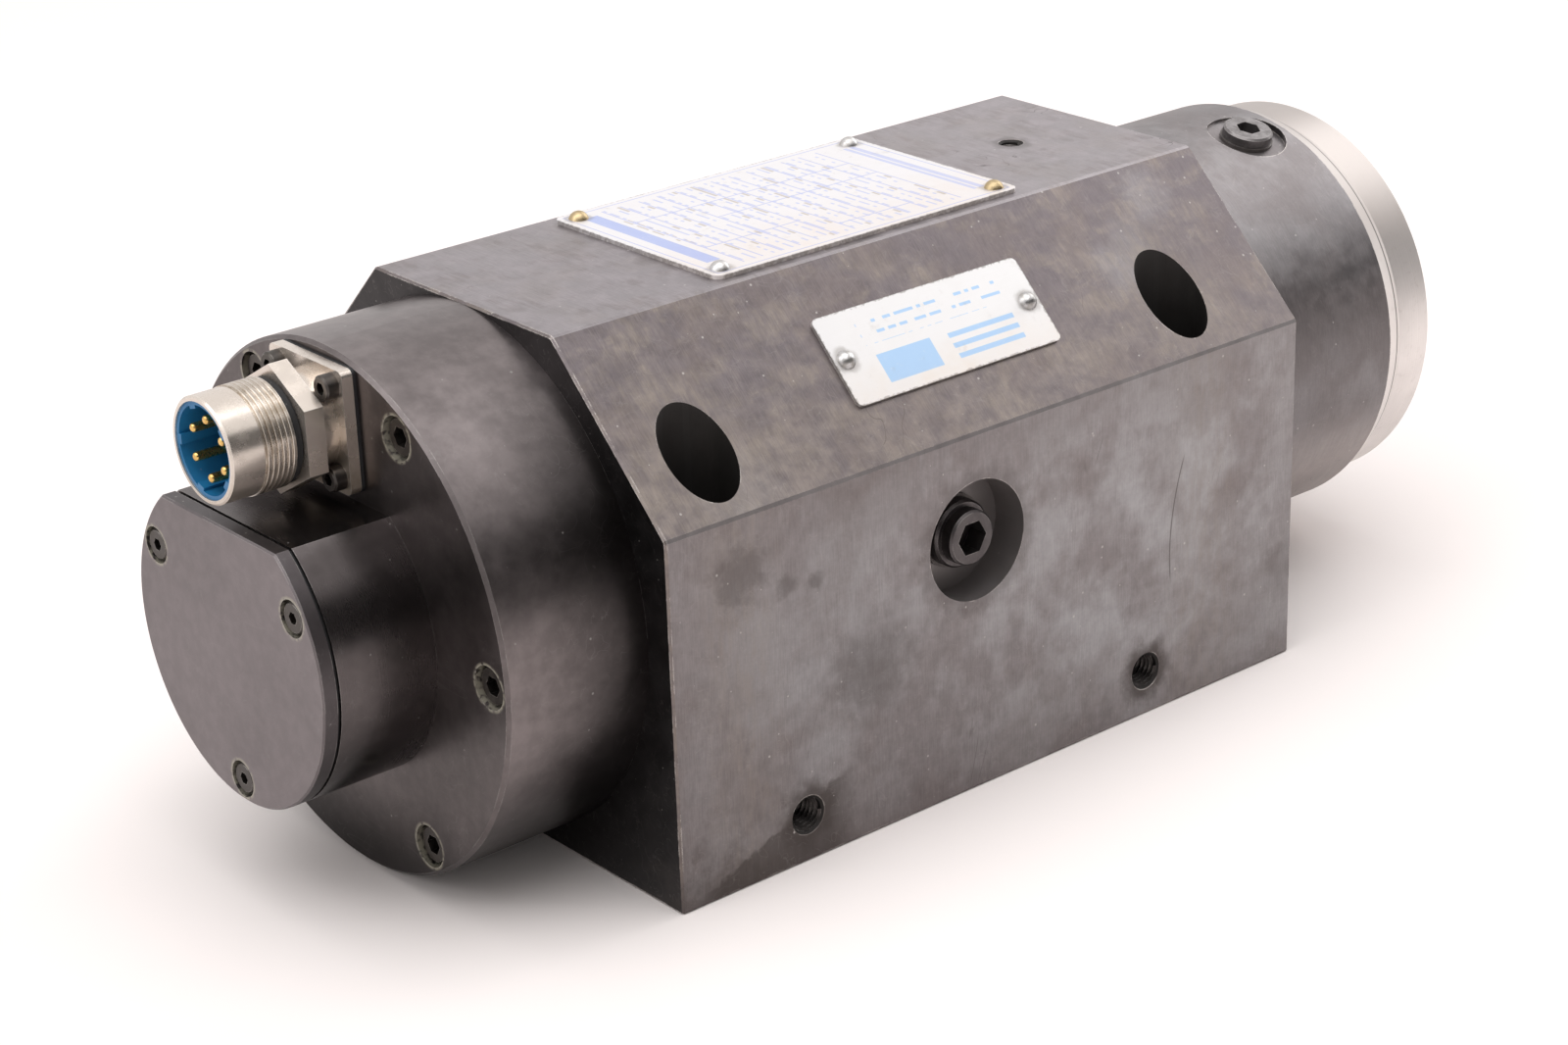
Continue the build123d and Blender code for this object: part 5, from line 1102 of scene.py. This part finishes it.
class FinishConnector(bpy.types.Operator):
    """Nickel shell and flange, blue insert, gilt pins"""

    bl_idname = "spindle.finish_connector"
    bl_label = "Power Connector"

    def execute(self, context):
        settings = context.scene.spindle.connector
        material, s, part = new_finish("nickel")
        place = part["Place"]
        x, _, z = s.parts(place)
        cloud = s.clouds(place, 5.0, 0.34, 0.68, 5.0)
        fine = s.clouds(place, 0.7, 0.35, 0.7)
        # darker and browner towards the bottom of the shell and flange, in clouds
        below = s.ramp(s.add(z, s.times(cloud, 5.0)), 108.0, 92.0)
        base = s.mix(s.times(below, 0.34), settings.nickel, settings.dirt)
        base = s.mix(s.times(fine, cloud, 0.16), base, settings.dirt)
        # the threaded stretch of the shell holds brown tarnish, and so does its root
        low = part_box("connector_shell")[0].x / MM + 7.8
        high = low + 7.2
        threaded = s.times(s.band(x, low - 0.4, low, high, high + 0.4), s.blend(cloud, 0.25, 0.60))
        base = s.mix(threaded, base, settings.dirt)
        root = s.times(
            s.ramp(x, high + 3.0, high + 8.0), s.ramp(s.add(z, s.times(cloud, 6.0)), 118.0, 100.0),
            s.blend(cloud, 0.15, 0.60),
        )
        base = s.mix(root, base, settings.dirt)
        base = s.mix(s.times(s.worn_edge(place, 0.25, 3.0, 0.8), 0.7), base, (0.86, 0.84, 0.80))
        rough = s.add(0.20, s.times(cloud, 0.12), s.times(below, 0.12))
        height = s.add(s.turning(0.25, 0.05), s.times(fine, 0.05))
        close_finish(s, base, rough, 0.84, height, depth=0.004, strength=0.6)
        dress(material, "connector_flange", "connector_shell")
        insert = moulded("blue_insert", (settings.insert, (0.010, 0.105, 0.25)), 0.34)
        dress(insert, "connector_insert")
        gold = plain_metal("gold_pin", (settings.gold, (0.60, 0.36, 0.12)), 0.20, 0.98, 1.2, depth=0.004)
        dress(gold, "connector_pins")
        return {"FINISHED"}


class FinishInside(bpy.types.Operator):
    """Shaft, collet, bearings, motor, jacket, encoder wheel and leads"""

    bl_idname = "spindle.finish_inside"
    bl_label = "Moving and Inner Pieces"

    def execute(self, context):
        settings = context.scene.spindle.inner
        shaft = plain_metal("shaft_steel", (settings.steel, (0.36, 0.35, 0.34)), 0.22, 0.95, 8.0, pitch=0.25)
        dress(shaft, "spindle_shaft", "front_outer_spacer", "front_inner_spacer", "front_lock_nut")
        dress(shaft, "rear_lock_nut", "rotor_sleeve", "bearing_bush", "bush_clip", "preload_spring")
        bearing = plain_metal(
            "bearing_steel", (settings.bearing, (0.48, 0.48, 0.49)), 0.12, 0.97, 6.0, marks=0.1, depth=0.003
        )
        dress(bearing, "front_outer_rings", "front_inner_rings", "front_balls")
        dress(bearing, "rear_outer_ring", "rear_inner_ring", "rear_balls")
        collet = plain_metal(
            "collet_steel", (settings.collet, (0.20, 0.20, 0.21)), 0.26, 0.92, 5.0,
            pitch=0.3, marks=0.25, bare=(0.72, 0.71, 0.70),
        )
        dress(collet, "collet", "collet_nut")
        cage = moulded("cage_resin", (settings.cage, (0.12, 0.065, 0.03)), 0.5)
        dress(cage, "front_cages", "rear_cage")
        sheets = stacked("laminations", (settings.laminations, (0.10, 0.10, 0.11)), 0.4, 0.8, step=0.5)
        dress(sheets, "stator_core", "rotor_core")
        wire = stacked("copper_winding", (settings.copper, (0.25, 0.07, 0.03)), 0.32, 0.6, around=26.0)
        dress(wire, "stator_winding")
        jacket = plain_metal("aluminium", (settings.jacket, (0.48, 0.49, 0.50)), 0.32, 0.92, 8.0, pitch=0.3)
        dress(jacket, "cooling_jacket", "rotor_end_rings")
        wheel = plain_metal("wheel_steel", (settings.wheel, (0.30, 0.30, 0.31)), 0.3, 0.92, 4.0, pitch=0.3)
        dress(wheel, "encoder_wheel")
        sensor = moulded("sensor_plastic", (settings.sensor, (0.05, 0.052, 0.056)), 0.45)
        dress(sensor, "encoder_read_head")
        lead = moulded("lead_insulation", (settings.lead, (0.28, 0.025, 0.02)), 0.4)
        dress(lead, "winding_leads")
        return {"FINISHED"}


class ModelThreads(bpy.types.Operator):
    """Thread turns inside the side holes and the hole on top"""

    bl_idname = "spindle.model_threads"
    bl_label = "Thread Turns"

    def execute(self, context):
        settings = context.scene.spindle.fastener
        steel = plain_metal(
            "thread_steel", ((0.07, 0.062, 0.060), (0.03, 0.027, 0.026)), 0.30, 0.95, 2.0,
            marks=0.3, bare=(0.36, 0.35, 0.33), depth=0.01,
        )
        # each winding starts at the deep end of its hole and comes up to the mouth
        depth = block_high.y - 0.9 * MM - SIDE_TURNS * settings.m8_pitch
        mouths = {}
        for side, side_word in ((-1, "near"), (1, "far")):
            for end, end_word in ((-1, "rear"), (1, "front")):
                hole_x = TAPPED_MIDDLE_X + end * TAPPED_HALF_X
                place = Matrix.Translation((hole_x * MM, side * depth, TAPPED_Z * MM))
                turn = Matrix.Rotation(radians(-90) * side, 4, "X")
                mouths[f"side_thread_{side_word}_{end_word}"] = place @ turn
        first, *others = mouths
        pieces = [thread_turns(first, 4.0 * MM, settings.m8_pitch, SIDE_TURNS, steel)]
        pieces += [copy_piece(pieces[0], name) for name in others]
        for piece, mouth in zip(pieces, mouths.values()):
            piece.data.transform(mouth)
            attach(piece, "housing")
        top = thread_turns("lifting_thread", 2.5 * MM, settings.m5_pitch, TOP_TURNS, steel)
        bottom = block_high.z - 0.8 * MM - TOP_TURNS * settings.m5_pitch
        top.data.transform(Matrix.Translation((LIFTING_X * MM, 0.0, bottom)))
        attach(top, "housing")
        return {"FINISHED"}


class BuildStudio(bpy.types.Operator):
    """Pale floor, softboxes, room light and the camera"""

    bl_idname = "spindle.build_studio"
    bl_label = "Studio"

    def floor(self, settings):
        material, s, _ = new_finish("floor_paper")
        place = s.node("ShaderNodeTexCoord").outputs["Object"]
        paper = s.node("ShaderNodeTexNoise", {"Vector": place, "Scale": 3.0, "Detail": 2.0}).outputs[0]
        seen = s.node("ShaderNodeLightPath").outputs["Is Camera Ray"]
        lighter = tuple(min(1.0, value * 1.13) for value in settings.floor)
        base = s.mix(seen, settings.floor, lighter)
        base = s.mix(s.times(paper, 0.06), base, (0.70, 0.68, 0.67))
        close_finish(s, base, 0.9, Specular_IOR_Level=0.1)
        floor = stage_plane("floor", settings.floor_size, material)

    def dark_side(self):
        """The unlit side of the room, seen only as a dark band in the steel."""
        material, s, _ = new_finish("dark_cloth")
        close_finish(s, (0.02, 0.02, 0.02), 1.0, Specular_IOR_Level=0.0)
        # painted reflection: a dark sheet seen only in glossy rays, standing for the unlit side of the room
        card = stage_plane("dark_side_of_room", 1.0, material)
        upright = Matrix.Rotation(radians(90), 4, "X") @ Matrix.Diagonal((6.4, 1.28, 1.0, 1.0))
        card.data.transform(Matrix.Translation((0.6, -1.6, 0.76)) @ upright)
        card.visible_camera = card.visible_diffuse = card.visible_shadow = card.visible_transmission = False

    def room(self, scene, settings):
        world = bpy.data.worlds.new("studio_room")
        world.use_nodes = True
        world.node_tree.nodes.clear()
        s = Sheet(world.node_tree)
        rays = s.node("ShaderNodeLightPath").outputs
        seen = s.most(rays["Is Camera Ray"], rays["Is Glossy Ray"], rays["Is Transmission Ray"])
        light = s.blend(seen, settings.level, 1.0)
        back = s.node("ShaderNodeBackground", {"Color": (1.0, 0.975, 0.965), "Strength": light})
        s.node("ShaderNodeOutputWorld", {"Surface": back.outputs[0]})
        scene.world = world

    def lamps(self, scene, settings):
        target = Vector((0, 0, 0.06))
        for name, spot, size, watts in (
            ("softbox_above", Vector((-0.35, -0.25, 2.40)), 2.5, settings.key),
            ("softbox_encoder_end", Vector((-1.00, 0.25, 0.85)), 0.9, settings.fill),
            ("softbox_nose_end", Vector((1.15, 0.05, 0.75)), 0.9, settings.rim),
        ):
            lamp = bpy.data.lights.new(name, "AREA")
            lamp.shape = "SQUARE"
            lamp.size = size
            lamp.energy = watts
            holder = bpy.data.objects.new(name, lamp)
            scene.collection.objects.link(holder)
            holder.location = spot
            holder.rotation_euler = (target - spot).to_track_quat("-Z", "Y").to_euler()

    def camera(self, scene, settings):
        yaw, pitch, roll = settings.turn
        ahead = Vector((cos(pitch) * cos(yaw), cos(pitch) * sin(yaw), sin(pitch)))
        right = ahead.cross(Vector((0, 0, 1))).normalized()
        up = right.cross(ahead)
        tilted_right = right * cos(roll) + up * sin(roll)
        tilted_up = up * cos(roll) - right * sin(roll)
        camera = bpy.data.cameras.new("photograph_camera")
        camera.lens = settings.lens
        camera.sensor_width = 36.0
        camera.clip_start = 0.01
        camera.clip_end = 50.0
        eye = bpy.data.objects.new("photograph_camera", camera)
        scene.collection.objects.link(eye)
        turn = Matrix((tilted_right, tilted_up, -ahead)).transposed().to_4x4()
        eye.matrix_world = Matrix.Translation(Vector(settings.place)) @ turn
        scene.camera = eye

    def execute(self, context):
        scene = context.scene
        settings = scene.spindle.studio
        self.floor(settings)
        self.dark_side()
        self.room(scene, settings)
        self.lamps(scene, settings)
        self.camera(scene, settings)
        scene.view_settings.view_transform = "Standard"
        return {"FINISHED"}


STEPS = (
    FinishBlock, FinishHousings, FinishBands, FinishFasteners, FinishPlates, FinishConnector, FinishInside,
    ModelThreads, BuildStudio,
)


class SpindlePanel(bpy.types.Panel):
    """Lists the steps that dress the spindle"""

    bl_idname = "VIEW3D_PT_spindle"
    bl_label = "Motor Spindle"
    bl_space_type = "VIEW_3D"
    bl_region_type = "UI"
    bl_category = "Spindle"

    def draw(self, context):
        settings = context.scene.spindle
        for step in STEPS:
            self.layout.operator(step.bl_idname)
        for group in ("block", "housing", "band", "fastener", "plate", "connector", "inner", "studio"):
            box = self.layout.box()
            held = getattr(settings, group)
            for key in held.__annotations__:
                box.prop(held, key)


CLASSES = (
    BlockSettings, HousingSettings, BandSettings, FastenerSettings, PlateSettings, ConnectorSettings,
    InnerSettings, StudioSettings, SpindleSettings, *STEPS, SpindlePanel,
)


def register():
    for item in CLASSES:
        bpy.utils.register_class(item)
    bpy.types.Scene.spindle = PointerProperty(type=SpindleSettings)


def unregister():
    del bpy.types.Scene.spindle
    for item in reversed(CLASSES):
        bpy.utils.unregister_class(item)


def main():
    register()
    for step in STEPS:
        group, name = step.bl_idname.split(".")
        getattr(getattr(bpy.ops, group), name)()


if __name__ == "__main__":
    main()
